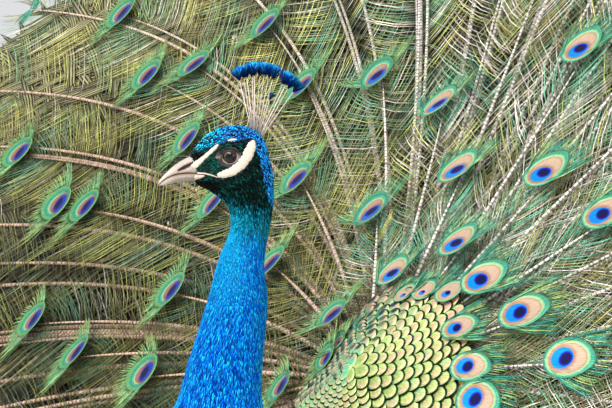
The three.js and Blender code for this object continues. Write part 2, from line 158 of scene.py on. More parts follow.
class PeacockTrain(bpy.types.PropertyGroup):
    """Sizes of the raised train, shield and tail."""

    lean: angle("Lean", "Fan tilted back from upright", 36)
    sweep: angle("Sweep", "Feathers swept back from the fan plane", 8)
    bow: length("Bow", "Forward bow of a feather at one metre", 0.051)
    curl: length("Curl", "More forward bow of a sideways feather at one metre", 0.258)
    droop: length("Droop", "Sag of a sideways feather at one metre", 0.430)
    half_angle: angle("Half angle", "Spread to each side of upright", 105)
    reach: length("Reach", "Length of the longest feather", 1.4)
    shortening: bpy.props.FloatProperty(name="Shortening", default=0.36, subtype="FACTOR",
                                        description="Share by which the outermost are shorter")
    stack: length("Stack", "How far short feathers lie in front at the root", 0.045)
    spot_step: angle("Spot step", "Angle between eye spots of one ring", 17)
    barb_gap: length("Barb gap", "Distance between loose barbs on a stem", 0.0052)
    barbed: length("Barbed length", "Length of a stem that bears barbs", 0.56)
    webs: count("Webs", "Bundles of dark barbs behind the stems", 16200)
    fish_tails: count("Fish tails", "Longest feathers, which end in a fork", 40)
    tail_feathers: count("Tail feathers", "Brown feathers behind the train", 20)
    tail_length: length("Tail length", "Length of a tail feather", 0.43)


class PeacockColours(bpy.types.PropertyGroup):
    """Colours of the plumage and bare parts."""

    neck: colour("Neck", "Neck and breast blue", "0a8cff")
    neck_bright: colour("Neck bright", "Bright feather edges on the neck", "1cccff")
    neck_dark: colour("Neck dark", "Shaded feathers of the neck", "0636c8")
    crown: colour("Crown", "Bead feathers of the crown", "2492ff")
    crown_cyan: colour("Crown cyan", "Bead feathers of the forehead", "26d4ff")
    face: colour("Face", "Velvet cheeks and throat", "021a1a")
    face_bright: colour("Face bright", "Bright flecks of the cheeks", "0a8070")
    belly: colour("Belly", "Belly and flanks", "0a1f1c")
    flank: colour("Flank", "Green of the lower flanks", "12463a")
    thigh: colour("Thigh", "Thigh feathering", "b9a37c")
    down: colour("Down", "Fluff under the tail", "7d746a")
    horn: colour("Horn", "Bill", "bcb0a4")
    lid: colour("Lid", "Bare skin round the eye", "6d5d52")
    barb_olive: colour("Barb olive", "Loose barbs of the train", "a8aa72")
    barb_green: colour("Barb green", "Barbs near the eye spots", "62bc9c")
    barb_bronze: colour("Barb bronze", "Bronze barbs", "8f7850")
    barb_gold: colour("Barb gold", "Bright barbs", "c8cc74")
    barb_pale: colour("Barb pale", "Barbs that catch the light", "e8ddd0")
    # Barb dark is painted shade deep in the fan; it also darkens some of the fluff under the tail.
    barb_dark: colour("Barb dark", "Broad barbs behind", "1c1812")
    stem: colour("Stem", "Train feather stems", "f4eae2")
    shaft: colour("Shaft", "Bare shafts of the crest", "fce8dc")


def mm(metres):
    """A setting in metres as millimetres."""
    return metres * 1000.0


def body_set():
    """The body's settings."""
    return bpy.context.scene.peacock_body


def train_set():
    """The train's settings."""
    return bpy.context.scene.peacock_train


def tint(name):
    """One of the colour settings as an array."""
    return np.array(getattr(bpy.context.scene.peacock_colours, name))


# ------------------------------------------------------------------ the bird's own frame

HEAD = np.array([-11.0, -63.0, 723.0])     # middle of the skull
NECK_AXIS_Y = -49.0                        # the neck's upright axis, which the head turns about
STRAIGHT_HEAD_Y = -67.0                    # the head's middle before it is turned
HEAD_TURN = math.radians(38)
FORWARD = np.array([-math.sin(HEAD_TURN), -math.cos(HEAD_TURN), 0.0])
LEFT = np.array([math.cos(HEAD_TURN), -math.sin(HEAD_TURN), 0.0])
UP = np.array([0.0, 0.0, 1.0])
SIDES = ((1, "l"), (-1, "r"))
EYE = {"forward": 1.5, "side": 13.4, "up": 4.4}
SOCKET = {"long": 11.0, "tall": 9.0, "deep": 2.6}      # hollow round each eye


def head_point(forward, side, up):
    """Point by its distance in front of, to the left of and above the head's middle."""
    forward, side, up = np.broadcast_arrays(forward, side, up)
    return (HEAD + forward[..., None] * FORWARD + side[..., None] * LEFT + up[..., None] * UP)


def eye_centre(side):
    """Middle of an eyeball: side is 1 on the left, -1 on the right."""
    return head_point(EYE["forward"], EYE["side"] * side, EYE["up"])


def frame_shift():
    """Step from the bird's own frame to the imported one, taken from where the left eye is."""
    low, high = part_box("eye_l")
    return (np.array(low) + np.array(high)) * 500.0 - eye_centre(1)


SHIFT = frame_shift()


def to_frame(points):
    """Millimetres in the bird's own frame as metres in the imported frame."""
    return (np.asarray(points) + SHIFT) * 0.001


# ------------------------------------------------------------------ meshes

def piece(name, shape, finish, slot, *nodes, colours=None, values=None, **uvs):
    """Makes one object from its shape (points, triangles, places on the bake map), gives it its
    finish and hides the CAD nodes that it stands for; its slot is not used."""
    points, triangles, bake = shape
    mesh = bpy.data.meshes.new(name)
    corners = np.asarray(triangles, np.int32).ravel()
    mesh.vertices.add(len(points))
    mesh.vertices.foreach_set("co", to_frame(points).astype(np.float32).ravel())
    mesh.loops.add(len(corners))
    mesh.loops.foreach_set("vertex_index", corners)
    mesh.polygons.add(len(triangles))
    mesh.polygons.foreach_set("loop_start", np.arange(0, len(corners), 3, dtype=np.int32))
    mesh.polygons.foreach_set("use_smooth", np.ones(len(triangles), bool))
    mesh.update(calc_edges=True)
    for key, uv in {"OFBake": bake, **uvs}.items():
        if uv is not None:
            layer = mesh.uv_layers.new(name=key)
            layer.data.foreach_set("uv", np.asarray(uv, np.float32)[corners].ravel())
    if colours is not None:
        layer = mesh.color_attributes.new("plumage", "FLOAT_COLOR", "POINT")
        solid = np.concatenate([colours, np.ones((len(colours), 1))], axis=1)
        layer.data.foreach_set("color", solid.astype(np.float32).ravel())
    for key, value in (values or {}).items():
        layer = mesh.attributes.new(key, "FLOAT", "POINT")
        layer.data.foreach_set("value", np.asarray(value, np.float32))
    thing = new_object(name, mesh)
    mesh.materials.append(finish)
    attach(thing, "root")
    if nodes:
        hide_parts(*nodes)


def new_object(name, data):
    """A new object in the scene."""
    thing = bpy.data.objects.new(name, data)
    bpy.context.scene.collection.objects.link(thing)
    return thing


def turns(number):
    """Angles spaced evenly round a full turn."""
    return np.arange(number) * 2 * np.pi / number


def grid_triangles(rows, columns):
    """Triangles of a grid of points whose last column joins the first."""
    r, c = grid(np.arange(rows - 1), np.arange(columns))
    a = (r * columns + c).ravel()
    b = (r * columns + (c + 1) % columns).ravel()
    d, e = a + columns, b + columns
    return np.concatenate([np.stack([a, b, e], 1), np.stack([a, e, d], 1)])


def outward(points, triangles):
    """The triangles turned so that the closed shape's faces point out."""
    a, b, c = (points[triangles[:, i]] for i in range(3))
    middle = points.mean(0)
    volume = np.einsum("ij,ij->i", a - middle, np.cross(b - middle, c - middle)).sum()
    return triangles if volume > 0 else triangles[:, ::-1]


def capped(points, rows, around):
    """Triangles of rings of points closed by the last two points, one at each end."""
    c = np.arange(around)
    after, base = (c + 1) % around, (rows - 1) * around
    return outward(points, np.concatenate([
        grid_triangles(rows, around), np.stack([np.full(around, rows * around), after, c], 1),
        np.stack([np.full(around, rows * around + 1), base + c, base + after], 1)]))


def closed_loft(rings):
    """Shape of rings (rows, around, 3) with both ends closed by a middle point; on its bake map
    across is the way round and up is the way along."""
    rows, around = rings.shape[:2]
    points = np.concatenate([rings.reshape(-1, 3), rings[:1].mean(1), rings[-1:].mean(1)])
    r, c = grid(np.linspace(0.01, 0.99, rows), np.arange(around) / around)
    uv = np.concatenate([np.stack([c.ravel(), r.ravel()], 1), [[0.5, 0.0], [0.5, 1.0]]])
    return points, capped(points, rows, around), uv


def closed_loop(rings):
    """Shape of rings (rows, around, 3) whose last joins the first."""
    rows, around = rings.shape[:2]
    points = rings.reshape(-1, 3)
    r, c = grid(np.arange(rows) / rows, np.arange(around) / around)
    return (points, outward(points, grid_triangles(rows + 1, around) % len(points)),
            np.stack([c.ravel(), r.ravel()], 1))


def joined(shapes):
    """Several shapes as one."""
    points, triangles, uvs = zip(*shapes)
    starts = np.cumsum([0] + [len(p) for p in points])
    return (np.concatenate(points), np.concatenate([t + k for t, k in zip(triangles, starts)]),
            np.concatenate(uvs))


# ------------------------------------------------------------------ feathers as joined meshes

def leaf(stations, ring):
    """Template of a closed blade: the ring, rows of (across, up), is carried along stations of
    (place along 0..1, width, height) and closed by a point at each end."""
    stations, ring = np.asarray(stations, float), np.asarray(ring, float)
    rows, around = len(stations), len(ring)
    points = np.empty((rows, around, 3))
    points[..., 0] = stations[:, :1]
    points[..., 1] = stations[:, 1:2] * ring[:, 0]
    points[..., 2] = stations[:, 2:3] * ring[:, 1]
    start = 2 * stations[0, 0] - stations[1, 0] if stations[0, 0] > 0.05 else 0.0
    flat = np.concatenate([points.reshape(-1, 3), [[start, 0.0, 0.0], [1.0, 0.0, 0.0]]])
    return flat, capped(flat, rows, around)


HAIR_RING = [(-1.0, 0.0), (1.0, 0.0), (0.0, 1.0)]
BEAD_RING = [(-1.0, 0.0), (0.0, -0.4), (1.0, 0.0), (0.0, 1.0)]
VANE_RING = [(-1.0, 0.0), (0.0, -0.25), (1.0, 0.0), (0.5, 0.8), (0.0, 1.0), (-0.5, 0.8)]

HAIR = leaf([(0.02, 0.55, 0.6), (0.45, 1.0, 1.0)], HAIR_RING)
BARB = leaf([(0.33, 1.0, 1.0), (0.7, 0.85, 0.85)], HAIR_RING)
SHAFT = leaf([(0.0, 1.3, 1.3), (0.4, 1.0, 1.0), (0.9, 0.7, 0.7)], HAIR_RING)
BEAD = leaf([(0.1, 0.75, 0.6), (0.45, 1.0, 1.0), (0.85, 0.7, 0.7)], BEAD_RING)
CONTOUR = leaf([(0.02, 0.3, 0.5), (0.3, 0.85, 1.0), (0.62, 1.0, 1.0), (0.88, 0.68, 0.7)],
               VANE_RING)
SCALE = leaf([(0.02, 0.5, 0.6), (0.25, 0.85, 0.9), (0.5, 1.0, 1.0), (0.72, 0.93, 0.95),
              (0.87, 0.72, 0.8), (0.96, 0.42, 0.5)], VANE_RING)
QUILL = leaf([(i / 14.0, w, 1.0) for i, w in enumerate(
    (0.10, 0.22, 0.5, 0.72, 0.85, 0.93, 0.98, 1.0, 1.0, 0.99, 0.96, 0.9, 0.78, 0.55))],
    VANE_RING)


def feathers(name, template, frames, sizes, colours, bake, finish, slot, *nodes, patch=0.003,
             curl=0.0, bend=0.0, values=None):
    """Many copies of a blade as one piece.

    frames holds, for each copy, its place and its forward, side and out directions.  A point of
    the template goes to place + forward x length x along + side x (width x across + bend x along
    squared) + out x (height x up + curl x along squared).  sizes is (length, half width,
    height); colours is (root colour, tip colour); bake is each root's place on the bake map,
    round which its patch lies.
    """
    points, triangles = template
    number = frames.shape[1]
    along, across, up = points.T
    long, wide, high, bend, curl = (np.broadcast_to(np.asarray(v, float), number)[:, None]
                                    for v in (*sizes, bend, curl))
    roots, forward, side, out = frames[:, :, None]
    shape = (roots + (long * along)[..., None] * forward
             + (wide * across + bend * along ** 2)[..., None] * side
             + (high * up + curl * along ** 2)[..., None] * out)
    faces = triangles[None] + (np.arange(number) * len(points))[:, None, None]
    shade = mix(colours[0][:, None, :], colours[1][:, None, :], along[None, :, None])
    local = np.stack([across * 0.5 + 0.5, along], 1)
    spread = bake[:, None, :] + (local - 0.5)[None] * patch
    piece(name, (shape.reshape(-1, 3), faces.reshape(-1, 3), spread.reshape(-1, 2)), finish, slot,
          *nodes, colours=shade.reshape(-1, 3), vane=np.tile(local, (number, 1)),
          values={key: np.repeat(value, len(points)) for key, value in (values or {}).items()})


def framed(place, forward, out):
    """Frames of feathers: place, forward, side and out."""
    return np.stack([place, forward, unit(np.cross(out, forward)), out])


def swivelled(frames, first, second, turn):
    """Frames with their first direction turned towards their second by turn radians."""
    turn = np.broadcast_to(np.asarray(turn, float), frames.shape[1])[:, None]
    made = frames.copy()
    made[first] = frames[first] * np.cos(turn) + frames[second] * np.sin(turn)
    made[second] = frames[second] * np.cos(turn) - frames[first] * np.sin(turn)
    return made


def swung(frames, turn):
    """Frames turned sideways about their out directions."""
    return swivelled(frames, 1, 2, turn)


def tilted(frames, lift):
    """Frames whose forward directions rise outwards."""
    return swivelled(frames, 1, 3, lift)


def ruffled(rng, frames, sway, low, high):
    """Frames each swung a little at random and tilted by low to high."""
    number = frames.shape[1]
    return tilted(swung(frames, rng.normal(0.0, sway, number)), rng.uniform(low, high, number))


# ------------------------------------------------------------------ body surface

# Stations of the body from the bill's base to the vent, before the head is turned:
# y and z of the upper outline, y and z of the lower outline, half width.
BODY = np.array([
    (-105.5, 727, -100.5, 702.5, 6.6), (-99, 736, -96, 699, 10.5), (-91, 745.5, -89, 695.5, 14),
    (-81, 751.3, -82, 691, 17), (-70.5, 754.3, -76.5, 686.5, 19), (-60, 755, -72.5, 682, 20),
    (-50, 752.3, -70, 677.5, 20.2), (-42, 747.5, -69, 673, 19.8), (-36.8, 739, -68.4, 669, 19.2),
    (-33.5, 728, -68.2, 665, 18.8), (-30.5, 716, -68.6, 660.5, 18.8), (-28.5, 702, -70, 655.5, 19),
    (-28, 687, -72.6, 649.5, 19.6), (-29.2, 670, -76, 643, 20.4), (-33, 650, -81, 634, 21.8),
    (-37, 625, -87.5, 618, 24.6), (-36, 597, -95, 594, 29.4), (-39, 570, -104, 569, 32.4),
    (-43.5, 542, -114.5, 541, 35.6), (-45.5, 512, -126, 507, 39.5), (-43, 494, -141, 478, 48),
    (-34, 487.5, -157, 448, 59), (-20, 487.5, -168, 414, 70), (-4, 489, -168, 375, 79),
    (14, 490, -150, 337, 85), (34, 489, -116, 308, 89), (56, 488, -70, 293, 90.5),
    (80, 487, -20, 289, 89.5), (105, 485, 32, 292.5, 86), (130, 477.5, 78, 305, 79),
    (153, 468, 116, 325, 68), (174, 455.5, 148, 352, 52), (190, 439, 172, 381, 32),
    (197.5, 424, 190, 406, 11)], float)

LAST_ROW = len(BODY) - 1
NECK_TOP, NECK_FOOT = 11.5 / LAST_ROW, 20.5 / LAST_ROW
TWIST = (598.0, 690.0)                     # heights between which the neck is twisted
FACE_COAT = 0.9                            # depth of the velvet on the face


def turned(points):
    """Turns the head and the top of the neck about the neck's upright axis."""
    turn = HEAD_TURN * ease(points[..., 2], *TWIST)
    x, y = points[..., 0], points[..., 1] - NECK_AXIS_Y
    c, s = np.cos(turn), np.sin(turn)
    return np.stack([c * x + s * y, NECK_AXIS_Y + c * y - s * x, points[..., 2]], -1)


def coat_depth(s):
    """Depth of the plumage over the skin at a place along the body, in millimetres."""
    neck, trunk = mm(body_set().neck_coat), mm(body_set().trunk_coat)
    return mix(mix(FACE_COAT, neck, ease(s, NECK_TOP - 0.06, NECK_TOP + 0.06)), trunk,
               ease(s, NECK_FOOT - 0.05, NECK_FOOT + 0.1))


def body_point(s, a, sink=0.0):
    """Ellipse between the upper and lower outlines at s, at angle a from the bird's left side
    up towards its back, drawn in by sink; then the head is turned."""
    row = along_table(BODY, s)
    top, bottom, wide = row[..., 0:2], row[..., 2:4], row[..., 4]
    middle, half = (top + bottom) / 2.0, (top - bottom) / 2.0
    tall = np.linalg.norm(half, axis=-1)
    shrink = 1.0 - sink / np.maximum(tall, 4.0)
    yz = middle + half * (np.sin(a) * shrink)[..., None]
    eye = np.hypot((yz[..., 0] - STRAIGHT_HEAD_Y + EYE["forward"]) / SOCKET["long"],
                   (yz[..., 1] - HEAD[2] - EYE["up"]) / SOCKET["tall"])
    socket = SOCKET["deep"] * (1.0 - ease(eye, 0.35, 1.1))
    x = (wide - np.minimum(sink, wide * 0.5) - socket) * np.cos(a)
    return turned(np.concatenate([x[..., None], yz], -1))


def body_frames(s, a):
    """Place in the plumage, direction towards the tail, sideways and outward at (s, a)."""
    sink = coat_depth(s)
    point = body_point(s, a, sink)
    down = slope(lambda here: body_point(here, a, sink), s, 1e-4, 0.0, 1.0)
    round_ = slope(lambda here: body_point(s, here, sink), a, 1e-3)
    normal = unit(np.cross(round_, down))
    middle = body_point(s, a + np.pi, sink)
    flip = np.sign(np.einsum("...j,...j", normal, point - middle))[..., None]
    return framed(point, down, normal * flip)


def rows_on_body(first, last, spacing, seed, jitter=0.35):
    """Places (s, a) in staggered rows a given distance apart, from s = first to s = last."""
    rng = np.random.default_rng(seed)
    fine = np.linspace(first, last, 600)
    side = body_point(fine, np.full(600, math.radians(-10.0)))
    travelled = np.concatenate([[0.0], np.cumsum(np.linalg.norm(np.diff(side, axis=0), axis=1))])
    rows = np.interp(np.arange(0.0, travelled[-1], spacing * 0.9), travelled, fine)
    turn = np.linspace(0.0, 2 * np.pi, 65)
    rings = body_point(rows[:, None], turn[None, :])
    girth = np.linalg.norm(np.diff(rings, axis=1), axis=-1).sum(1)
    number = np.maximum((girth / spacing).astype(int), 6)
    row = np.repeat(np.arange(len(rows)), number)
    rank = np.arange(len(row)) - np.repeat(np.cumsum(number) - number, number)
    share = (rank + 0.5 * (row % 2) + rng.uniform(-jitter, jitter, len(row))) / number[row]
    step = (last - first) / max(len(rows), 1)
    s = rows[row] + rng.uniform(-jitter, jitter, len(row)) * step
    return np.clip(s, first, last), share * 2 * np.pi, rng


def bake_place(s, a):
    """Place of (s, a) on the body's own unwrap: across is the way round, up is the way along."""
    return np.stack([0.01 + 0.98 * ((a / (2 * np.pi)) % 1.0), 0.01 + 0.98 * s], 1)


# ------------------------------------------------------------------ markings of head and body

# Lines on the side of the head, by distance in front of and above its middle, with half widths.
UPPER_STRIPE = np.array([(36.5, -6.6, 2.0), (32.0, -3.0, 2.7), (26, 2.4, 1.9), (20.5, 7.4, 1.7),
                         (15.5, 12.0, 1.6), (12.2, 15.4, 0.7)])
LOWER_CRESCENT = np.array([(12.6, -12.6, 1.6), (8.5, -11.6, 3.1), (1.8, -9.6, 3.8),
                           (-5.6, -5.2, 4.1), (-11.6, 1.0, 4.4), (-15.6, 8.4, 4.7),
                           (-18.2, 15.0, 3.7), (-19.6, 18.6, 1.2)])
BROW_LINE = np.array([(3.6, 18.6, 0.4), (0.0, 19.6, 1.0), (-4.6, 19.8, 0.5)])
GAPE_LINE = np.array([(31, -11.0, 0.9), (24, -11.2, 0.7), (18, -12.4, 0.6), (12.6, -14.2, 0.3)])
RICTUS = np.array([(35.5, -15.2, 2.2), (31, -14.6, 2.1), (27, -13.8, 1.3), (24.4, -13.2, 0.4)])
LID_PATCH = {"forward": 12.4, "back": 10.2, "above": 7.9, "below": 9.2}


def head_place(points):
    """Distance in front of and above the head's middle of points in the bird's frame."""
    offset = points - HEAD
    return offset @ FORWARD, offset[..., 2]


def line_distance(forward, up, line):
    """Distance from points to the nearest of a line's fine steps, less the half width there."""
    fine = along_table(line, np.linspace(0.0, 1.0, 60))
    gap = np.hypot(forward[..., None] - fine[:, 0], up[..., None] - fine[:, 1]) - fine[:, 2]
    return gap.min(-1)


def lid_reach(x, y):
    """Reach of the bare skin round the eye, sideways and upwards, on the side of (x, y)."""
    return (np.where(x > 0, LID_PATCH["forward"], LID_PATCH["back"]),
            np.where(y > 0, LID_PATCH["above"], LID_PATCH["below"]))


def lid_share(forward, up):
    """1 at the edge of the bare skin round the eye, less inside."""
    x, y = forward - EYE["forward"], up - EYE["up"]
    wide, tall = lid_reach(x, y)
    return np.hypot(x / wide, y / tall)


def crown_border(forward):
    """Height of the line where the crown meets the face, from the bill over the eye and down
    the nape."""
    return np.interp(forward, [-44.0, -31.0, -23.0, -14.0, 5.0, 20.0, 34.0],
                     [-60.0, -28.0, 8.0, 20.0, 18.5, 13.5, 8.0])


def bare_skin(forward, up):
    """True where the side of the head has no feathers."""
    white = np.minimum(line_distance(forward, up, UPPER_STRIPE),
                       line_distance(forward, up, LOWER_CRESCENT))
    return (white < 0.2) | (lid_share(forward, up) < 1.0)


def body_colours(points, rng):
    """Root and tip colours of the plumage at places on the body."""
    forward, up = head_place(points)
    number = len(points)
    noise, chance = rng.random(number), rng.random(number)
    bright = mixed(tint("neck"), tint("neck_bright"), np.clip(noise * 1.8 - 0.8, 0, 1))
    blue = mix(bright, tint("neck_dark"), (0.75 * (chance < 0.2))[:, None])
    # Crown: blue on top, cyan towards the forehead.
    crown = mixed(tint("crown"), tint("crown_cyan"),
                  np.clip(ease(forward, -2.0, 26.0) * 0.75 + 0.9 * (noise - 0.5), 0, 1))
    # Painted shade: about a third of the beads are made nearly black, standing in for the dark gaps
    # between the bright ones.
    crown = crown * mix(0.05, 1.5, ease(chance, 0.2, 0.42))[:, None]
    # Cheeks: nearly black behind the white crescent, teal flecks in front of it.
    flecks = noise ** mix(7.0, 1.4, ease(forward, -12.0, 8.0) * ease(up, -26.0, -12.0))
    face = mixed(tint("face"), tint("face_bright"), flecks)
    border = crown_border(forward)
    above = ease(up + 2.0 * (noise - 0.5), border - 1.2, border + 1.2)
    head = mix(face, crown, above[:, None])
    # Darker by the bill's base in front of the eye, and painted shade on the chin under the bill.
    lore = ease(-np.hypot(forward - 32.0, (up - 3.0) * 1.3), -6.5, -4.5)
    chin = ease(forward, 8.0, 18.0) * ease(-up, 17.5, 19.0)
    head = mix(head, tint("face") * 0.12, np.maximum(lore, chin)[:, None])
    # Velvet cheeks give way to teal, then to the neck's blue, lower down in front.
    drop = 690.0 - points[:, 2] + 0.25 * forward
    teal = mixed(tint("face_bright"), tint("neck_bright"), np.clip(noise * 1.2 - 0.1, 0, 1))
    lower = mix(head, mix(teal, tint("face"), (0.5 * (chance < 0.4))[:, None]),
                ease(drop + 10 * (noise - 0.5), -2.0, 20.0)[:, None])
    # Painted light: the front of the neck is painted a brighter cyan, as where light from the front
    # falls on it.
    throat = mixed(blue, tint("neck_bright"), 0.6 * ease(forward, -22.0, -2.0)
                   * ease(points[:, 2], 560.0, 640.0))
    neck = mix(lower, throat, ease(drop + 14 * (noise - 0.5), 14.0, 46.0)[:, None])
    # Behind the breast, belly and flanks turn dark green.
    edge = -20.0 - 0.2 * (500.0 - points[:, 2])
    behind = ease(points[:, 1] - edge, -15.0, 25.0) * ease(-points[:, 2], -540.0, -500.0)
    under = mixed(tint("belly"), tint("flank"), noise)
    colours = mix(neck, under, behind[:, None])
    rump = ease(points[:, 1], 120.0, 165.0) * ease(-points[:, 2], -470.0, -430.0)
    down = mixed(tint("down"), tint("barb_dark"), noise * 0.6)
    colours = mix(colours, down, rump[:, None])
    return colours * mix(0.45, 0.95, noise)[:, None], colours


# ------------------------------------------------------------------ train surface

FAN_ROOT = np.array([0.0, 110.0, 490.0])


def fan_axes():
    """Unit directions up the fan's middle and out of its front."""
    lean = train_set().lean
    return (np.array([0.0, math.sin(lean), math.cos(lean)]),
            np.array([0.0, -math.cos(lean), math.sin(lean)]))


def fan_point(angle_, distance, lift):
    """Point on the fan: a shallow cone round the root, swept back, bowed forward with the square
    of the distance (more so sideways), with sideways feathers sagging by the same square."""
    t = train_set()
    up, front = fan_axes()
    metres = distance / 1000.0
    sideways = np.sin(angle_)
    sag = np.hypot(sideways, 0.15) - 0.15
    bow = mm(t.bow) + mm(t.curl) * sideways ** 2
    out = -math.sin(t.sweep) * distance + bow * metres ** 2 + lift
    point = (FAN_ROOT + (math.cos(t.sweep) * distance * np.cos(angle_))[..., None] * up
             + out[..., None] * front)
    point[..., 0] += math.cos(t.sweep) * distance * sideways
    point[..., 2] -= mm(t.droop) * metres ** 2 * sag
    return point


def fan_frames(angle_, distance, lift):
    """Point, direction along the feather, direction across it and normal out of the front."""
    along = slope(lambda here: fan_point(angle_, here, lift), distance, 0.5)
    across = slope(lambda here: fan_point(here, distance, lift), angle_, 1e-3)
    normal = unit(np.cross(along, across))
    return framed(fan_point(angle_, distance, lift), along,
                  normal * np.sign(normal @ fan_axes()[1])[..., None])


def stack_lift(distance):
    """How far in front of the cone a feather of this length lies."""
    return mm(train_set().stack) * np.maximum(0.0, 1.0 - distance / 1100.0) ** 1.5


def side_share(angle_):
    """Length of the feathers at an angle, as a share of the longest: shorter towards the sides,
    with a slight shoulder at 52 degrees."""
    t = train_set()
    shoulder = 0.1 * np.exp(-((np.abs(np.degrees(angle_)) - 52.0) / 9.0) ** 2)
    return 1.0 - t.shortening * (np.abs(angle_) / t.half_angle) ** 4 + shoulder


def near_side(angles):
    """1 on the side of the fan by the bird's left, 0 on the far side."""
    return ease(angles, math.radians(-62.0), math.radians(-24.0))


def far_spot(angles):
    """1 for eye spots well round to the far side, 0 for the others."""
    return ease(-angles, math.radians(22.0), math.radians(52.0))


def barb_tones(rng, angles, back, hue):
    """Colours of barbs: teal near the eye spot, then olive and bronze in stretches of one hue (a
    value for each feather), with cream barbs in painted light; yellower and duller on the far
    side, in the fan's shade."""
    number = len(angles)
    green = 1.0 - ease(back, 15.0, 95.0)
    near = near_side(angles)
    wave = 0.5 + 0.5 * np.sin(back / 34.0 + 40.0 * hue)
    tone = mixed(tint("barb_olive"), tint("barb_bronze"), rng.random(number) ** 1.4)
    leafy = np.clip(1.5 * green + 1.1 * (wave - mix(0.5, 0.32, near))
                    + rng.normal(0.0, 0.25, number), 0, 1)
    tone = mixed(tone, tint("barb_green"), leafy * mix(0.7, 0.9, near))
    gold = rng.random(number) < mix(0.36, 0.12, near) * (0.4 + 1.2 * (1.0 - wave))
    # Pale barbs are painted light, barbs catching the light, more often on the lit near side.
    pale = rng.random(number) < (0.05 + 0.22 * near) * (1.0 - green)
    tone = np.where(gold[:, None], tint("barb_gold"), tone)
    tone = np.where(pale[:, None], tint("barb_pale"), tone)
    # Beside its eye spot a feather is in that spot's shade.
    tone = tone * mix(1.0, mix(0.3, 0.6, near), 1.0 - ease(back, 18.0, 55.0))[:, None]
    dim = mix(0.65, 0.2, near * (rng.random(number) < 0.4))
    return tone * (rng.uniform(dim, 1.3, number) * mix(0.8, 1.3, near))[:, None]


def far_shade(angles, points):
    """Brightness of the far side of the fan: dull low down, in its own shade, bright on top."""
    dull = mix(0.56, 1.9, ease(points[:, 2], 430.0, 880.0))
    return mix(dull, 1.0, near_side(angles))[:, None]


def over_spot(points, discs):
    """True for points in front of an eye spot's disc or in it, seen square to the disc."""
    hit = np.zeros(len(points), bool)
    for centre, across, along, normal, size in zip(*discs):
        offset = points - centre
        x, y = offset @ across / (SPOT_WIDE * size), offset @ along / (SPOT_LONG * size)
        hit |= (x * x + y * y < 0.9) & (np.abs(offset @ normal - 17.0) < 21.0)
    return hit


def clear_span(frames, long, bend, discs):
    """First and last share of each barb that is clear of every eye spot's disc: it begins where
    it comes out from under its own spot and stops short of the next."""
    steps, (start, forward, side, _) = 12, frames
    inside = np.array([over_spot(start + forward * (long * t)[:, None]
                                 + side * (bend * t * t)[:, None], discs)
                       for t in (np.arange(steps) + 0.5) / steps])
    under = np.logical_and.accumulate(inside, axis=0)
    stopped = np.logical_or.accumulate(inside & ~under, axis=0)
    return under.sum(0) / steps, 1.0 - stopped.sum(0) / steps


def fan_bake(angle_, distance):
    """Place of a point of the fan on the fan's own unwrap."""
    t = train_set()
    return np.stack([0.5 + 0.48 * angle_ / t.half_angle,
                     0.02 + 0.95 * distance / mm(t.reach)], 1)


SPOT_WIDE, SPOT_LONG = 21.8, 25.0          # half sizes of a full eye spot
# Eye spots over the middle of the fan: angle in degrees, distance in millimetres, size.
SPOTS = np.array([
    (-78, 62, .7), (-60, 64, .5), (-29, 62, .5), (-4, 95, .55), (9, 103, .56), (24, 117, .64),
    (50, 114, .74), (73, 132, .8), (-99, 118, .8), (-56, 120, .85), (-22, 130, .85),
    (30, 151, .95), (86, 155, .92), (4, 164, .92), (53, 182, 1), (70, 240, 1), (-38, 260, 1),
    (-15, 264, 1), (12, 268, 1), (34, 286, 1), (-62, 314, 1), (-86, 390, 1), (-27, 396, 1),
    (-2, 412, 1), (-51, 434, 1), (-72, 454, 1), (-38, 534, 1), (-60, 536, 1), (-81, 548, 1),
    (-46, 632, 1), (-76, 682, 1), (-56, 724, 1), (-64, 786, 1), (-64, 850, 1), (-46, 850, 1),
    (-51, 892, 1), (-53, 964, 1), (-60, 1052, 1), (-50, 1186, 1.05)], float)
# How far out that table reaches at each angle.
SPOTS_REACH = np.array([(-104, 150), (-95, 560), (-85, 640), (-73, 800), (-63, 1010),
                        (-56, 1200), (-50, 1250), (-48, 1060), (-43, 860), (-36, 690),
                        (-23, 550), (-4, 480), (30, 290), (79, 290), (95, 170)], float)


def eye_feathers():
    """Angle, distance, size and eye size of every eye spot: the table, then staggered rings."""
    t = train_set()
    rng = np.random.default_rng(41)
    rings, step = [150.0], 58.0
    while rings[-1] + step < mm(t.reach) * 0.9:
        rings.append(rings[-1] + step)
        step = min(step + 5.0, 96.0)
    spots = []
    for k, distance in enumerate(rings):
        start = -t.half_angle + math.radians(3.0) + (k % 2) * t.spot_step / 2
        angles = np.arange(start, t.half_angle - math.radians(2.0), t.spot_step)
        spots.append(np.stack([angles, np.full(len(angles), distance)], 1))
    spots = np.concatenate(spots)
    angles = spots[:, 0] + rng.normal(0.0, math.radians(1.2), len(spots))
    distance = spots[:, 1] + rng.normal(0.0, 6.0, len(spots))
    distance *= side_share(angles) ** (spots[:, 1] / spots[:, 1].max())
    known = np.interp(np.degrees(angles), SPOTS_REACH[:, 0], SPOTS_REACH[:, 1])
    free = distance > known + 46.0
    angles = np.concatenate([np.radians(SPOTS[:, 0]), angles[free]])
    size = np.concatenate([SPOTS[:, 2], rng.uniform(0.94, 1.06, free.sum())])
    distance = np.concatenate([SPOTS[:, 1], distance[free]])
    heart = mix(0.42, 1.0, ease(size, 0.5, 0.85))
    return angles, distance, size, heart


# ------------------------------------------------------------------ materials

def add(tree, kind, links=None, **settings):
    """Adds a node; links maps its sockets to values or to other nodes' sockets."""
    node = tree.nodes.new("ShaderNode" + kind)
    for key, value in settings.items():
        setattr(node, key, value)
    for key, value in (links or {}).items():
        if isinstance(value, bpy.types.NodeSocket):
            tree.links.new(value, node.inputs[key])
        else:
            node.inputs[key].default_value = value
    return node


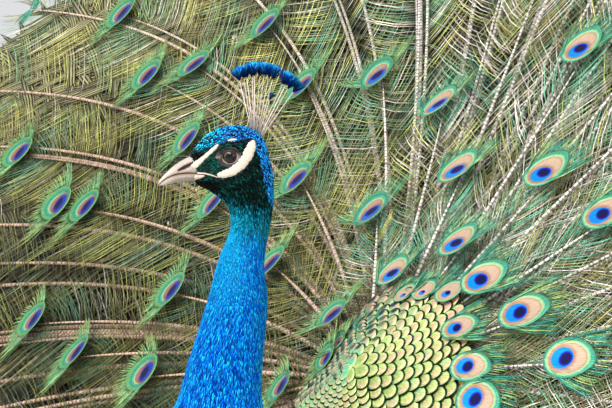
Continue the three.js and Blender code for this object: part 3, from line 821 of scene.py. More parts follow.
def material(name, roughness, specular, metallic=0.0, **more):
    """A new material with a Principled shader; gives the material, its tree and the shader."""
    made = bpy.data.materials.new(name)
    made.use_nodes = True
    tree = made.node_tree
    tree.nodes.clear()
    surface = add(tree, "BsdfPrincipled", {"Roughness": roughness, "Specular IOR Level": specular,
                                           "Metallic": metallic, **more})
    output = add(tree, "OutputMaterial")
    tree.links.new(surface.outputs["BSDF"], output.inputs["Surface"])
    return made, tree, surface


def paint(tree, surface, colour_):
    """Links a colour to the shader's base colour."""
    tree.links.new(colour_, surface.inputs["Base Color"])


def rgba(code):
    """An sRGB hex colour as an opaque linear one."""
    return (*linear(code), 1.0)


def ramp(tree, factor, stops):
    """Colour ramp through (position, sRGB hex) stops."""
    node = add(tree, "ValToRGB", {"Fac": factor})
    elements = node.color_ramp.elements
    while len(elements) < len(stops):
        elements.new(0.5)
    for element, (position, code) in zip(elements, stops):
        element.position = position
        element.color = rgba(code)
    return node.outputs["Color"]


def mix_colour(tree, factor, first, second, mode="MIX"):
    """Mixes two colours by a factor."""
    node = add(tree, "Mix", {0: factor, 6: first, 7: second}, data_type="RGBA",
               blend_type=mode, clamp_factor=True)
    return node.outputs[2]


def number_of(tree, operation, *values):
    """Arithmetic on values or sockets."""
    return add(tree, "Math", dict(enumerate(values)), operation=operation).outputs["Value"]


def held(tree, attribute, output="Fac"):
    """A value that the mesh holds for each point."""
    return add(tree, "Attribute", attribute_name=attribute).outputs[output]


def own_colour(tree):
    """The colour that the mesh holds for each point."""
    return held(tree, "plumage", "Color")


def on_vane(tree, name="vane"):
    """Place on a UV map: across each feather and along it."""
    return add(tree, "UVMap", uv_map=name).outputs["UV"]


def in_space(tree):
    """Place in metres."""
    return add(tree, "TexCoord").outputs["Object"]


def noise(tree, place, scale, detail=2.0, **more):
    """Noise from 0 to 1."""
    return add(tree, "TexNoise", {"Vector": place, "Scale": scale, "Detail": detail,
                                  **more}).outputs["Fac"]


def fibres(tree, place, across, along, detail=2.0):
    """Noise drawn out along a vane."""
    moved = add(tree, "Mapping", {"Vector": place, "Scale": (across, along, 1.0)})
    return noise(tree, moved.outputs["Vector"], 1.0, detail)


def waves(tree, place, scale, direction, distortion, detail=2.0, **more):
    """Bands from 0 to 1 across or along a vane."""
    return add(tree, "TexWave", {"Vector": place, "Scale": scale, "Distortion": distortion,
                                 "Detail": detail, **more}, bands_direction=direction
               ).outputs["Fac"]


def lit(tree, tone, grain, low, high, edge=0.3):
    """A colour made darker and lighter, from low to high, by noise."""
    light = add(tree, "MapRange", {"Value": grain, "From Min": edge, "From Max": 1.0 - edge,
                                   "To Min": low, "To Max": high})
    return add(tree, "VectorMath", {0: tone, 1: light.outputs["Result"]},
               operation="MULTIPLY").outputs["Vector"]


def relief(tree, surface, height, strength, metres, **more):
    """Bump on the shader's normal."""
    bump = add(tree, "Bump", {"Height": height, "Strength": strength, "Distance": metres}, **more)
    tree.links.new(bump.outputs["Normal"], surface.inputs["Normal"])


def ellipse_distance(tree, place, centre, radii):
    """Distance from an ellipse's centre, 1 on its line."""
    scale = (1.0 / radii[0], 1.0 / radii[1], 0.0)
    moved = add(tree, "Mapping", {
        "Vector": place, "Location": (-centre[0] * scale[0], -centre[1] * scale[1], 0.0),
        "Scale": scale}, vector_type="POINT")
    return add(tree, "VectorMath", {0: moved.outputs["Vector"]}, operation="LENGTH"
               ).outputs["Value"]


def below(tree, value, edge, soft):
    """1 where value is below edge, 0 above, over a soft width."""
    return add(tree, "MapRange", {"Value": value, "From Min": edge - soft, "From Max": edge + soft,
                                  "To Min": 1.0, "To Max": 0.0}).outputs["Result"]


def plumage_material(name, gloss, metal, ripple):
    """Short iridescent plumage: each feather's colour with finer barbs streaked over it. Its
    layered barbules mirror their own colour and hardly any white."""
    made, tree, surface = material(name, gloss, 0.25, metal)
    tone = own_colour(tree)
    # Barbs are about 0.4 mm apart, drawn at 1.2 mm so that they show.
    grain = noise(tree, in_space(tree), 1000.0 / 1.2, Roughness=0.6)
    paint(tree, surface, lit(tree, tone, grain, 1.0 - ripple, 1.0 + ripple))
    relief(tree, surface, grain, 0.3, 0.0003)
    return made


def streaked(tree, surface, tone, place, barbs, contrast):
    """Colours a vane by tone with fine lengthwise barbs, in light and dark and in relief."""
    grain = fibres(tree, place, barbs, 4.5)
    paint(tree, surface, lit(tree, tone, grain, 1.0 - contrast, 1.0 + contrast))
    relief(tree, surface, grain, 0.3, 0.0003)


def eye_spot_material():
    """Eye spot of a train feather: rings of green, gold, bronze and blue round a dark heart. On
    the far side, whose barbs mirror other light, green spreads inwards and cyan turns royal."""
    made, tree, surface = material("iridescent eye spot", 0.5, 0.1, 0.3)
    place, far, scale = on_vane(tree), held(tree, "far"), held(tree, "eye_scale")
    wobble = number_of(tree, "MULTIPLY", fibres(tree, place, 52.0, 5.0), 0.1)
    outer = ellipse_distance(tree, place, (0.5, 0.475), (0.5, 0.5))
    spread = number_of(tree, "MULTIPLY_ADD", far, 0.42, 1.0)
    ring = number_of(tree, "MULTIPLY_ADD", outer, spread, wobble)
    rings, full = ((0.0, "bca491"), (0.72, "b89c84"), (0.78, "a08068"), (0.83, "a4b884"),
                   (0.90, "84bc84"), (0.95, "3c8c84"), (1.02, "52a67a"), (1.1, "2c7668"),
                   (1.24, "4a9870"), (1.45, "74a860")), 1.5
    colour_ = ramp(tree, number_of(tree, "DIVIDE", ring, full),
                   [(part / full, code) for part, code in rings])
    inner = number_of(tree, "MULTIPLY", far, below(tree, ring, 0.8, 0.04))
    colour_ = mix_colour(tree, inner, colour_, rgba("946c60"))
    blue, heart = (number_of(tree, "DIVIDE", ellipse_distance(tree, place, *oval), scale)
                   for oval in (((0.5, 0.36), (0.262, 0.215)), ((0.5, 0.425), (0.15, 0.108))))
    for distance, edge, soft, near_code, far_code in (          # rust, cyan, royal, dark
            (blue, 1.22, 0.14, "a07458", "7c5448"), (blue, 1.0, 0.05, "047cc8", "0a38a4"),
            (heart, 1.25, 0.14, "1620a0", "1c1868"), (heart, 0.95, 0.1, "0e0a40", "140e40")):
        tone = mix_colour(tree, far, rgba(near_code), rgba(far_code))
        colour_ = mix_colour(tree, below(tree, distance, edge, soft), colour_, tone)
    streaked(tree, surface, colour_, place, 46.0, 0.24)
    return made


def shield_material():
    """Back scale: gold-green vane, mint or bronze in the middle, yellow just inside a thin dark
    green edge; some are teal at the tip."""
    made, tree, surface = material("gold-green scale feather", 0.4, 0.3, 0.4)
    place = on_vane(tree)

    def patch(centre, radii, edge, soft):
        return below(tree, ellipse_distance(tree, place, centre, radii), edge, soft)

    colour_ = mix_colour(tree, patch((0.5, 0.5), (0.42, 0.46), 0.72, 0.22), rgba("d6e898"),
                         own_colour(tree))
    for key, code, shape in (("bronze", "dcaa90", ((0.42, 0.74), (0.3, 0.24), 0.8, 0.3)),
                             ("teal", "06323e", ((0.68, 0.88), (0.36, 0.26), 0.85, 0.25))):
        strength = number_of(tree, "MULTIPLY", patch(*shape), held(tree, key))
        colour_ = mix_colour(tree, strength, colour_, rgba(code))
    rim = number_of(tree, "SUBTRACT", 1.0, patch((0.5, 0.47), (0.5, 0.53), 0.86, 0.03))
    streaked(tree, surface, mix_colour(tree, rim, colour_, rgba("0a2c18")), place, 26.0, 0.3)
    return made


def vane_material(name, base, bar, gloss, bars, contrast):
    """Large matt feather: vane colour with a pale shaft, fine barbs and soft cross bars."""
    made, tree, surface = material(name, gloss, 0.4)
    place = on_vane(tree)
    mottle = noise(tree, in_space(tree), 1000.0 / 9.0, 3.0)
    wave = waves(tree, place, bars, "Y", 3.0, **{"Detail Scale": 2.0})
    dark = number_of(tree, "MULTIPLY", number_of(tree, "MULTIPLY", wave, mottle), contrast)
    barred = mix_colour(tree, dark, rgba(base), rgba(bar))
    toned = mix_colour(tree, 1.0, barred, own_colour(tree), "MULTIPLY")
    shaft = ellipse_distance(tree, place, (0.5, 0.0), (0.035, 1.05))
    paint(tree, surface, mix_colour(tree, below(tree, shaft, 0.9, 0.1), toned, rgba("8a7a68")))
    relief(tree, surface, fibres(tree, place, 3.0, 90.0, 1.0), 0.3, 0.0004)
    return made


def skin_like(name, code, dark, grain_mm, gloss, depth_mm, painted=False):
    """Horn, scaly or bare skin: one colour mottled towards a darker one, with fine relief; on a
    painted piece both are multiplied by its own colours."""
    made, tree, surface = material(name, gloss, 0.5)
    place = in_space(tree)
    shade = mix_colour(tree, noise(tree, place, 1000.0 / grain_mm, 3.0), rgba(dark), rgba(code))
    if painted:
        shade = mix_colour(tree, 1.0, shade, own_colour(tree), "MULTIPLY")
    paint(tree, surface, shade)
    cells = add(tree, "TexVoronoi", {"Vector": place, "Scale": 1000.0 / grain_mm})
    relief(tree, surface, cells.outputs["Distance"], 0.5, depth_mm / 1000.0, invert=True)
    return made


def bill_material():
    """Keratin bill: pale horn, pinker along the gape and grey at the base, with painted shade in
    the nostril, along the gape line and under the lower bill, and a painted highlight towards the
    tip.
    """
    made, tree, surface = material("pale bill horn", 0.45, 0.3, IOR=1.54)
    grain = noise(tree, in_space(tree), 1000.0 / 2.5, 4.0)
    paint(tree, surface, lit(tree, own_colour(tree), grain, 0.86, 1.08))
    relief(tree, surface, grain, 0.25, 0.0003)
    return made


def eyeball_material(side):
    """Wet eye: black pupil, dark brown iris, near-black beyond, under a clear coat."""
    made, tree, surface = material("wet eye", 0.4, 0.0, **{
        "Coat Weight": 1.0, "Coat Roughness": 0.02, "Coat IOR": 1.42, "IOR": 1.38})
    place = in_space(tree)
    offset = add(tree, "VectorMath", {0: place, 1: tuple(to_frame(eye_centre(side)))},
                 operation="SUBTRACT")
    across = add(tree, "VectorMath", {0: offset.outputs["Vector"], 1: tuple(LEFT * side)},
                 operation="CROSS_PRODUCT")
    radius = add(tree, "VectorMath", {0: across.outputs["Vector"]}, operation="LENGTH")
    share = number_of(tree, "DIVIDE", radius.outputs["Value"], body_set().eye_radius)
    streaks = noise(tree, place, 1000.0 / 0.8)
    paint(tree, surface, ramp(tree, number_of(tree, "MULTIPLY_ADD", streaks, 0.06, share), [
        (0.0, "010101"), (0.50, "010101"), (0.55, "1e0f08"), (0.72, "382014"), (0.82, "170c08"),
        (0.90, "080505")]))
    return made


def quill_material():
    """Pale quill, darkened where barbs leave it, with painted shadow where barbs cross it. Real
    ones are under a millimetre apart; they are drawn every 6 mm, bunched, so that they show."""
    made, tree, surface = material("smooth pale quill", 0.4, 0.4)
    lines = waves(tree, on_vane(tree, "OFBake"), 245 * math.pi / 10, "Y", 6.0,
                  **{"Detail Scale": 3.0})
    # Dark bands along the quill: notches where barbs leave it, and painted shadow where barbs cross
    # it.
    notch_and_shadow = number_of(tree, "MULTIPLY", below(tree, lines, 0.3, 0.15), 0.75)
    paint(tree, surface, mix_colour(tree, notch_and_shadow, own_colour(tree), rgba("3a3222")))
    return made


def barb_sheet_material(lines_across):
    """Barbs set side by side, with painted shade in the gaps between them. Real ones are under a
    millimetre apart; only a few are drawn across each bundle so that they show."""
    made, tree, surface = material("close-set train barbs", 0.5, 0.3, 0.2)
    place = on_vane(tree)
    lines = waves(tree, place, lines_across * math.pi / 10, "X", 0.5, 1.0)
    shade = lit(tree, own_colour(tree), fibres(tree, place, 6.0, 3.0), 0.7, 1.3, 0.35)
    # The dark gaps between the drawn barbs are painted shade.
    paint(tree, surface, mix_colour(tree, below(tree, lines, 0.45, 0.2), shade, rgba("17150e")))
    return made


def barb_material(name, gloss):
    """Loose barbs: each barb's own colour, faintly glossy."""
    made, tree, surface = material(name, gloss, 0.3, 0.3)
    # Bright and dull stretches of a barb alternate every few millimetres: painted highlights.
    patches = noise(tree, in_space(tree), 1000.0 / 7.0)
    paint(tree, surface, lit(tree, own_colour(tree), patches, 0.7, 1.35, 0.35))
    return made


# ------------------------------------------------------------------ skin and body plumage

class PieceOperator:
    """What the piece operators share: they are undoable and finish or raise."""

    bl_options = {"REGISTER", "UNDO"}


# Stations of the left thigh: x, y, z, half width, half depth.
THIGH = np.array([(50, 22, 372, 30, 40), (53, 24, 320, 34, 46), (56, 44, 268, 29, 38),
                  (56, 68, 222, 20, 26), (56, 88, 186, 13, 16), (56, 99, 158, 9, 10.5)], float)
THIGH_SINK = 5.0                           # depth of the thigh's plumage


def mirrored(points, side):
    """Points as they are for the left side, or mirrored across the middle for the right."""
    return points * np.array([side, 1.0, 1.0])


def across_limb(tangent):
    """Directions across a limb: sideways, and square to both that and the limb."""
    side = unit(np.cross(np.array([0.0, 1.0, 0.0]) + 0 * tangent, tangent))
    return side, np.cross(tangent, side)


def thigh_shape(side):
    """Skin of a thigh."""
    row = along_table(THIGH, np.linspace(0.0, 1.0, 40))
    across, deep = across_limb(unit(np.gradient(row[:, :3], axis=0)))
    wide, thick, turn = row[:, 3:4] - THIGH_SINK, row[:, 4:5] - THIGH_SINK, turns(40)
    return closed_loft(mirrored(row[:, None, :3] + (wide * np.cos(turn))[..., None]
                                * across[:, None] + (thick * np.sin(turn))[..., None]
                                * deep[:, None], side))


def thigh_frames(t, turn, side):
    """Place on a thigh's skin, direction down it, sideways and outward."""
    def middle(t_):
        return along_table(THIGH, t_)[:, :3]

    def skin(t_):
        across, deep = across_limb(slope(middle, t_, 1e-3, 0.0, 1.0))
        wide, thick = (along_table(THIGH, t_)[:, 3:] - THIGH_SINK).T
        return (middle(t_) + (wide * np.cos(turn))[:, None] * across
                + (thick * np.sin(turn))[:, None] * deep)

    point, down = skin(t), slope(skin, t, 2e-3, 0.0, 1.0)
    reach = point - middle(t)
    out = unit(reach - down * np.einsum("ij,ij->i", reach, down)[:, None])
    point, down, out = (mirrored(v, side) for v in (point, down, out))
    return framed(point, down, out)


class PEACOCK_OT_skin(PieceOperator, bpy.types.Operator):
    """One skin over head, neck, trunk and thighs"""

    bl_idname = "peacock.skin"
    bl_label = "Skin"

    def execute(self, context):
        s = np.concatenate([np.linspace(0, NECK_TOP, 130), np.linspace(NECK_TOP, 1, 201)[1:]])
        body = closed_loft(body_point(s[:, None], turns(96)[None, :], coat_depth(s)[:, None]))
        thighs = [thigh_shape(side) for side, _ in SIDES]
        forward, up = head_place(body[0])
        colours = body_colours(body[0], np.random.default_rng(3))[1]
        # Painted shade: the skin under the plumage is a darker copy of the plumage's colours,
        # darkest from the upper neck up.
        colours = colours * mix(0.42, 0.12, ease(up, -60.0, -40.0))[:, None]
        colours[bare_skin(forward, up) & (body[0][:, 2] > 690.0)] = tint("lid") * 0.8
        # The thighs' skin is their plumage colour in painted shade.
        colours = np.concatenate([colours] + [np.tile(tint("thigh") * 0.6, (len(shape[0]), 1))
                                              for shape in thighs])
        piece("skin", joined([body, *thighs]), plumage_material("feathered skin", 0.7, 0.0, 0.15),
              "plumage_blue", "trunk", "neck", "head", "thigh_l", "thigh_r", colours=colours)
        return {"FINISHED"}


class PEACOCK_OT_head_coat(PieceOperator, bpy.types.Operator):
    """Bead feathers of the crown and velvet feathers of the face"""

    bl_idname = "peacock.head_coat"
    bl_label = "Head plumage"

    def execute(self, context):
        s, a, rng = rows_on_body(0.004, NECK_TOP + 0.03, mm(body_set().crown_spacing), 11, 0.3)
        frames = body_frames(s, a)
        forward, up = head_place(frames[0])
        keep = ~(bare_skin(forward, up) & (np.abs((frames[0] - HEAD) @ LEFT) > 4.0))
        keep &= line_distance(forward, up, RICTUS) > 0.4
        frames, bake, forward, up = frames[:, keep], bake_place(s, a)[keep], forward[keep], up[keep]
        colours = body_colours(frames[0], rng)
        border = crown_border(forward)
        crown = ease(up, border - 1.0, border + 1.0) * ease(frames[0, :, 2], 700.0, 712.0)
        long = mix(2.7, 1.9, crown) * rng.uniform(0.8, 1.2, len(up))
        wide = mix(0.6, 0.82, crown) * rng.uniform(0.7, 1.15, len(up))
        feathers("crown_and_face", BEAD, tilted(frames, mix(0.22, 0.12, crown)),
                 (long, wide, mix(0.28, 0.7, crown)), colours, bake,
                 plumage_material("glossy bead feather", 0.36, 0.9, 0.12), "plumage_blue")
        return {"FINISHED"}


class PEACOCK_OT_neck_coat(PieceOperator, bpy.types.Operator):
    """Fine blue feathers of neck and breast"""

    bl_idname = "peacock.neck_coat"
    bl_label = "Neck plumage"

    def execute(self, context):
        finish = plumage_material("silky neck feather", 0.42, 0.92, 0.12)
        middle = 0.5 * (NECK_TOP + NECK_FOOT)
        for index, (first, last, grow) in enumerate((
                (NECK_TOP - 0.01, middle, 0.9), (middle, NECK_FOOT + 0.005, 1.1),
                (NECK_FOOT - 0.002, 24.0 / LAST_ROW, 2.0))):
            s, a, rng = rows_on_body(first, last, mm(body_set().neck_spacing) * grow, 21 + index,
                                     0.45)
            frames, number = body_frames(s, a), len(s)
            colours = body_colours(frames[0], rng)
            fine = mix(0.6, 1.0, ease(s, NECK_TOP, NECK_FOOT)) * grow
            long = 8.5 * fine * rng.uniform(0.8, 1.25, number)
            frames = ruffled(rng, frames, 0.09, 0.16, 0.26)
            feathers(f"neck_feathers_{index + 1}", HAIR, frames,
                     (long, 0.85 * fine * rng.uniform(0.7, 1.2, number), 0.45 * fine), colours,
                     bake_place(s, a), finish, "plumage_blue", curl=-0.16 * long)
        return {"FINISHED"}


class PEACOCK_OT_trunk_coat(PieceOperator, bpy.types.Operator):
    """Contour feathers of trunk and thighs, and the fluff under the tail"""

    bl_idname = "peacock.trunk_coat"
    bl_label = "Trunk plumage"

    def execute(self, context):
        spacing = mm(body_set().trunk_spacing)
        s, a, rng = rows_on_body(23.4 / LAST_ROW, 0.985, spacing, 31, 0.3)
        frames, number = body_frames(s, a), len(s)
        colours = body_colours(frames[0], rng)
        frames = ruffled(rng, frames, 0.08, 0.1, 0.17)
        long = spacing * 2.6 * rng.uniform(0.85, 1.2, number)
        feathers("trunk_feathers", CONTOUR, frames, (long, spacing * 0.72, 1.3), colours,
                 bake_place(s, a), plumage_material("body feather", 0.5, 0.12, 0.15),
                 "plumage_blue", curl=-0.1 * long)
        self.thighs()
        self.fluff()
        return {"FINISHED"}

    def thighs(self):
        rng, parts, rows, around = np.random.default_rng(33), [], 34, 30
        for side, _ in SIDES:
            t, turn = grid(np.linspace(0.1, 0.99, rows), np.arange(around) / around * 2 * np.pi)
            t = np.clip(t + rng.uniform(-0.012, 0.012, t.shape), 0, 1).ravel()
            turn = (turn + rng.uniform(-0.1, 0.1, turn.shape)
                    + np.pi / around * (np.arange(rows)[:, None] % 2)).ravel()
            parts.append(thigh_frames(t, turn, side))
        frames = np.concatenate(parts, axis=1)
        height, number = frames[0, :, 2], frames.shape[1]
        tip = tint("thigh") * rng.uniform(0.75, 1.1, number)[:, None]
        tip = mix(tip, tint("belly") * 1.5, ease(height, 300.0, 350.0)[:, None])
        small = mix(0.7, 1.0, ease(height, 150.0, 260.0))
        frames = ruffled(rng, frames, 0.14, 0.12, 0.22)
        bake = np.stack([rng.uniform(0.02, 0.98, number), 0.02 + 0.9 * (height / 400)], 1)
        feathers("thigh_feathers", CONTOUR, frames, (22.0 * small, 4.6 * small, 1.0),
                 (tip * 0.75, tip), bake, plumage_material("soft thigh feather", 0.8, 0.0, 0.18),
                 "thigh_feathers", curl=-2.4 * small)

    def fluff(self):
        rng, number = np.random.default_rng(35), 1500
        s = rng.uniform(28.5 / LAST_ROW, 0.99, number)
        a = rng.uniform(math.radians(-150.0), math.radians(-30.0), number)
        tip = mixed(tint("down"), linear("cfc7b8"), rng.random(number))
        frames = ruffled(rng, body_frames(s, a), 0.35, 0.1, 0.6)
        long = rng.uniform(22.0, 42.0, number)
        feathers("vent_fluff", HAIR, frames, (long, rng.uniform(0.9, 1.8, number), 0.6),
                 (tip * 0.6, tip), bake_place(s, a),
                 plumage_material("downy fluff", 0.9, 0.0, 0.1), "thigh_feathers",
                 bend=rng.normal(0.0, 5.0, number), curl=-0.25 * long)


# ------------------------------------------------------------------ head

def head_surface():
    """Fine samples of the head's left side: place in front and above, point and normal."""
    s, a = (v.ravel() for v in grid(np.linspace(0.0, NECK_TOP, 420),
                                    np.linspace(-1.45, 1.5, 260)))
    frames = body_frames(s, a)
    return (*head_place(frames[0]), frames[0], frames[3])


def on_head(samples, forward, up, lift, side):
    """Points over the head's skin at places in front and above, raised by lift."""
    f, u, point, out = samples
    shape = np.shape(forward)
    forward, up = np.ravel(forward), np.ravel(up)
    found, normal = np.empty((2, len(forward), 3))
    for block in np.array_split(np.arange(len(forward)), max(1, len(forward) // 400)):
        gap = (f[None] - forward[block, None]) ** 2 + (u[None] - up[block, None]) ** 2
        nearest = np.argpartition(gap, 6, axis=1)[:, :6]
        weight = 1.0 / (np.take_along_axis(gap, nearest, 1) + 1e-3)
        weight /= weight.sum(1, keepdims=True)
        found[block] = (point[nearest] * weight[..., None]).sum(1)
        normal[block] = unit((out[nearest] * weight[..., None]).sum(1))
    here = found + normal * np.broadcast_to(lift, shape).reshape(-1, 1)
    if side < 0:
        here = here - 2 * ((here - HEAD) @ LEFT)[:, None] * LEFT
    return here.reshape(*shape, 3)


def head_band(samples, line, rows, columns, height, side):
    """Raised ribbon along a line on the head: rounded across and tapered at its ends."""
    fine = along_table(line, np.linspace(0.0, 1.0, rows))
    middle, half = fine[:, :2], fine[:, 2]
    tangent = unit(np.gradient(middle, axis=0))
    across = np.stack([-tangent[:, 1], tangent[:, 0]], 1)
    turn, step = turns(columns), np.arange(rows)[:, None]
    ragged = 1.0 + (half > 1)[:, None] * (0.08 * np.sin(step * 1.9 + np.sign(np.cos(turn)) * 2.0)
                                          + 0.07 * np.sin(step * 0.83 + np.sign(np.cos(turn))))
    place = middle[:, None] + (half[:, None] * ragged * np.cos(turn))[..., None] * across[:, None]
    lift = np.sin(turn)[None] * height * np.minimum(half / half.max() * 2.0, 1.0)[:, None]
    return closed_loft(on_head(samples, place[..., 0], place[..., 1], lift + 0.35, side))


def lid_patch(samples, side):
    """Bare skin round the eye: a ring on the head from the eyeball out to the feathers."""
    share = np.linspace(0.52, 1.06, 14)
    x, y = np.cos(turns(72)), np.sin(turns(72))
    wide, tall = lid_reach(x, y)
    # A slight corner in front of the eye and behind it.
    place = (EYE["forward"] + share[:, None] * wide * np.sign(x) * np.abs(x) ** 1.15,
             EYE["up"] + share[:, None] * tall * y)
    folds = 0.25 * np.sin(share * 34.0)[:, None] * ease(share, 0.52, 0.6)[:, None]
    rim = 0.5 * np.exp(-((share - 0.58) / 0.08) ** 2)[:, None]
    top, under = (on_head(samples, *place, lift + 0 * place[0], side)
                  for lift in (0.45 + folds + rim, -0.8))
    return closed_loop(np.concatenate([top, under[::-1]]))


def eyelid(side):
    """Lid rim: a torus of oval section round the eyeball's visible part."""
    turn, small = turns(64), turns(14)
    across = np.cos(turn)[:, None] * FORWARD * 7.0 + np.sin(turn)[:, None] * UP * 6.1
    axis = LEFT * side
    seat = math.sqrt(mm(body_set().eye_radius) ** 2 - 6.5 ** 2) + 0.1
    tube_ = (0.8 * np.cos(small))[None, :, None] * unit(across)[:, None] + (
        0.9 * np.sin(small))[None, :, None] * axis
    return closed_loop(eye_centre(side) + across[:, None] + axis * seat + tube_)


class PEACOCK_OT_eyes(PieceOperator, bpy.types.Operator):
    """Eyeballs, lids and the bare skin round them"""

    bl_idname = "peacock.eyes"
    bl_label = "Eyes"

    def execute(self, context):
        lat, lon = grid(np.linspace(0.04, np.pi - 0.04, 40), turns(56))
        for side, letter in SIDES:
            ball = (np.cos(lat)[..., None] * (LEFT * side) + (np.sin(lat) * np.cos(lon))[..., None]
                    * FORWARD + (np.sin(lat) * np.sin(lon))[..., None] * UP)
            points, triangles, _ = closed_loft(eye_centre(side)
                                               + ball * mm(body_set().eye_radius))
            piece(f"eyeball_{letter}", (points, triangles, None), eyeball_material(side), "eye",
                  f"eye_{letter}")
        lids = joined([eyelid(side) for side, _ in SIDES])
        forward, up = head_place(lids[0])
        low = ease(-(up - EYE["up"]) - 0.35 * (forward - EYE["forward"]), -2.5, 2.5)
        piece("eyelids", lids, skin_like("moist lid rim", "fff8f4", "b09c92", 0.8, 0.4, 0.2, True),
              "eye", colours=mixed(linear("2a1f1b"), linear("c4b3a8"), low))
        samples = head_surface()
        patches = joined([lid_patch(samples, side) for side, _ in SIDES])
        forward, up = head_place(patches[0])
        across, rise = forward - EYE["forward"], up - EYE["up"]
        tone = linear("2c211e")
        for code, share in (("8e8490", ease(-across, 2.0, 8.5) * ease(-rise, -5.0, 2.0)),
                            ("9c8c84", ease(across, 6.0, 10.0) * ease(-np.abs(rise), -3.0, 0.0)),
                            ("120c0b", ease(rise, 1.5, 5.5))):
            tone = mixed(tone, linear(code), share)
        piece("bare_eye_skin", patches, skin_like("wrinkled eye skin", "fff4f0", "8a7c78", 1.8,
                                                  0.55, 0.6, True), "plumage_blue", colours=tone)
        for name, finish, rows, columns, lines in (
                ("white_face_skin", ("white pebbled skin", "ece5d6", "b8ac94", 0.9, 0.65, 0.8),
                 48, 16, ((UPPER_STRIPE, 0.9), (LOWER_CRESCENT, 1.15), (BROW_LINE, 0.7))),
                ("gape_skin", ("smooth gape skin", "e3d3c6", "a9856c", 2.0, 0.45, 0.2),
                 36, 14, ((GAPE_LINE, 0.9), (RICTUS, 1.3)))):
            piece(name, joined([head_band(samples, line, rows, columns, height, side)
                                for side, _ in SIDES for line, height in lines]),
                  skin_like(*finish), "plumage_blue")
        return {"FINISHED"}


# Stations of the closed bill: distance in front of the head's middle, height of the culmen,
# of the gape line and of the lower edge, half width.
BILL = np.array([(20, 12.0, -11.6, -18.0, 9.4), (27, 8.6, -11.4, -18.5, 9.1),
                 (34, 4.8, -11.2, -19.0, 8.4), (41, 2.0, -11.2, -19.7, 7.4),
                 (48, -1.9, -12.0, -20.6, 6.3), (54, -6.2, -13.6, -21.4, 5.2),
                 (59, -11.0, -16.0, -22.2, 4.0), (63, -15.0, -19.0, -23.0, 2.9),
                 (66, -18.8, -21.8, -23.7, 1.7), (67.4, -22.2, -23.9, -24.1, 0.7)], float)
NOSTRIL = np.array([(36.0, -2.8, 1.0), (40.0, -4.8, 1.5), (44.6, -7.2, 1.4), (48.6, -9.2, 0.6)])


def nostril_share(forward, up):
    """1 in the nostril's slit, 0 away from it."""
    return 1.0 - ease(line_distance(forward, up, NOSTRIL), -0.3, 0.6)


def bill_half(upper):
    """Upper or lower bill: an arch carried along the bill, closed by its flat cutting edge."""
    f, culmen, gape, lower, wide = along_table(
        BILL, np.linspace(0.0, 1.0 if upper else 0.93, 100)).T[..., None]
    turn, hand = turns(84)[None], 1.0 if upper else -1.0
    rise = np.sin(turn) * hand
    arch, inner = np.maximum(rise, 0.0) ** 0.85, np.maximum(-rise, 0.0)
    edge, far = gape + 0.12 * hand, culmen if upper else lower
    up = edge + (far - edge) * arch - 0.35 * hand * inner * np.sign(far - edge)
    side = wide * np.sign(np.cos(turn)) * np.abs(np.cos(turn)) ** (0.75 if upper else 0.8)
    rings = np.stack([f + 0 * turn, side * (1.0 if upper else 0.93), up], -1)
    if upper:
        hollow = nostril_share(rings[..., 0], rings[..., 2])
        rings[..., 1] -= np.sign(rings[..., 1]) * 2.3 * hollow * (np.abs(rings[..., 1]) > 1.5)
    return rings


class PEACOCK_OT_bill(PieceOperator, bpy.types.Operator):
    """Upper and lower bill with nostrils"""

    bl_idname = "peacock.bill"
    bl_label = "Bill"

    def execute(self, context):
        finish = bill_material()
        for upper, name in ((True, "bill_upper"), (False, "bill_lower")):
            local = bill_half(upper)
            shape = closed_loft(head_point(local[..., 0], local[..., 1], local[..., 2]))
            f, _, u = np.concatenate([local.reshape(-1, 3), local[:1].mean(1),
                                      local[-1:].mean(1)]).T
            rise = u - np.interp(f, BILL[:, 0], BILL[:, 2])
            edge = np.abs(rise)
            # The pink-brown band along the gape and the grey base are the horn's own colours; the
            # narrow dark line is painted shade in the crease of the gape.
            tones = [("94705a", np.exp(-(edge / 2.4) ** 2) * 0.8),
                     ("3a2014", np.exp(-(edge / 0.9) ** 2) * 0.95),
                     ("8f8780", ease(-f, -42.0, -30.0) * 0.55)]
            # Upper bill: greyer higher up, with painted shade in the nostril; lower bill: painted
            # shade on its underside.
            tones += ([("9d8f88", ease(rise, 3.0, 6.0) * 0.35), ("30140c", nostril_share(f, u))]
                      if upper else [("75685c", ease(-rise, 2.6, 4.6) * 0.6)])
            # Painted highlight: paler towards the tip, away from the gape.
            tones += [("e0d6ca", ease(f, 50.0, 64.0) * 0.6 * (1.0 - np.exp(-(edge / 1.2) ** 2)))]
            colours = np.tile(tint("horn"), (len(f), 1))
            for code, share in tones:
                colours = mixed(colours, linear(code), share)
            piece("horn_" + name, shape, finish, "bill", name, colours=colours)
        return {"FINISHED"}


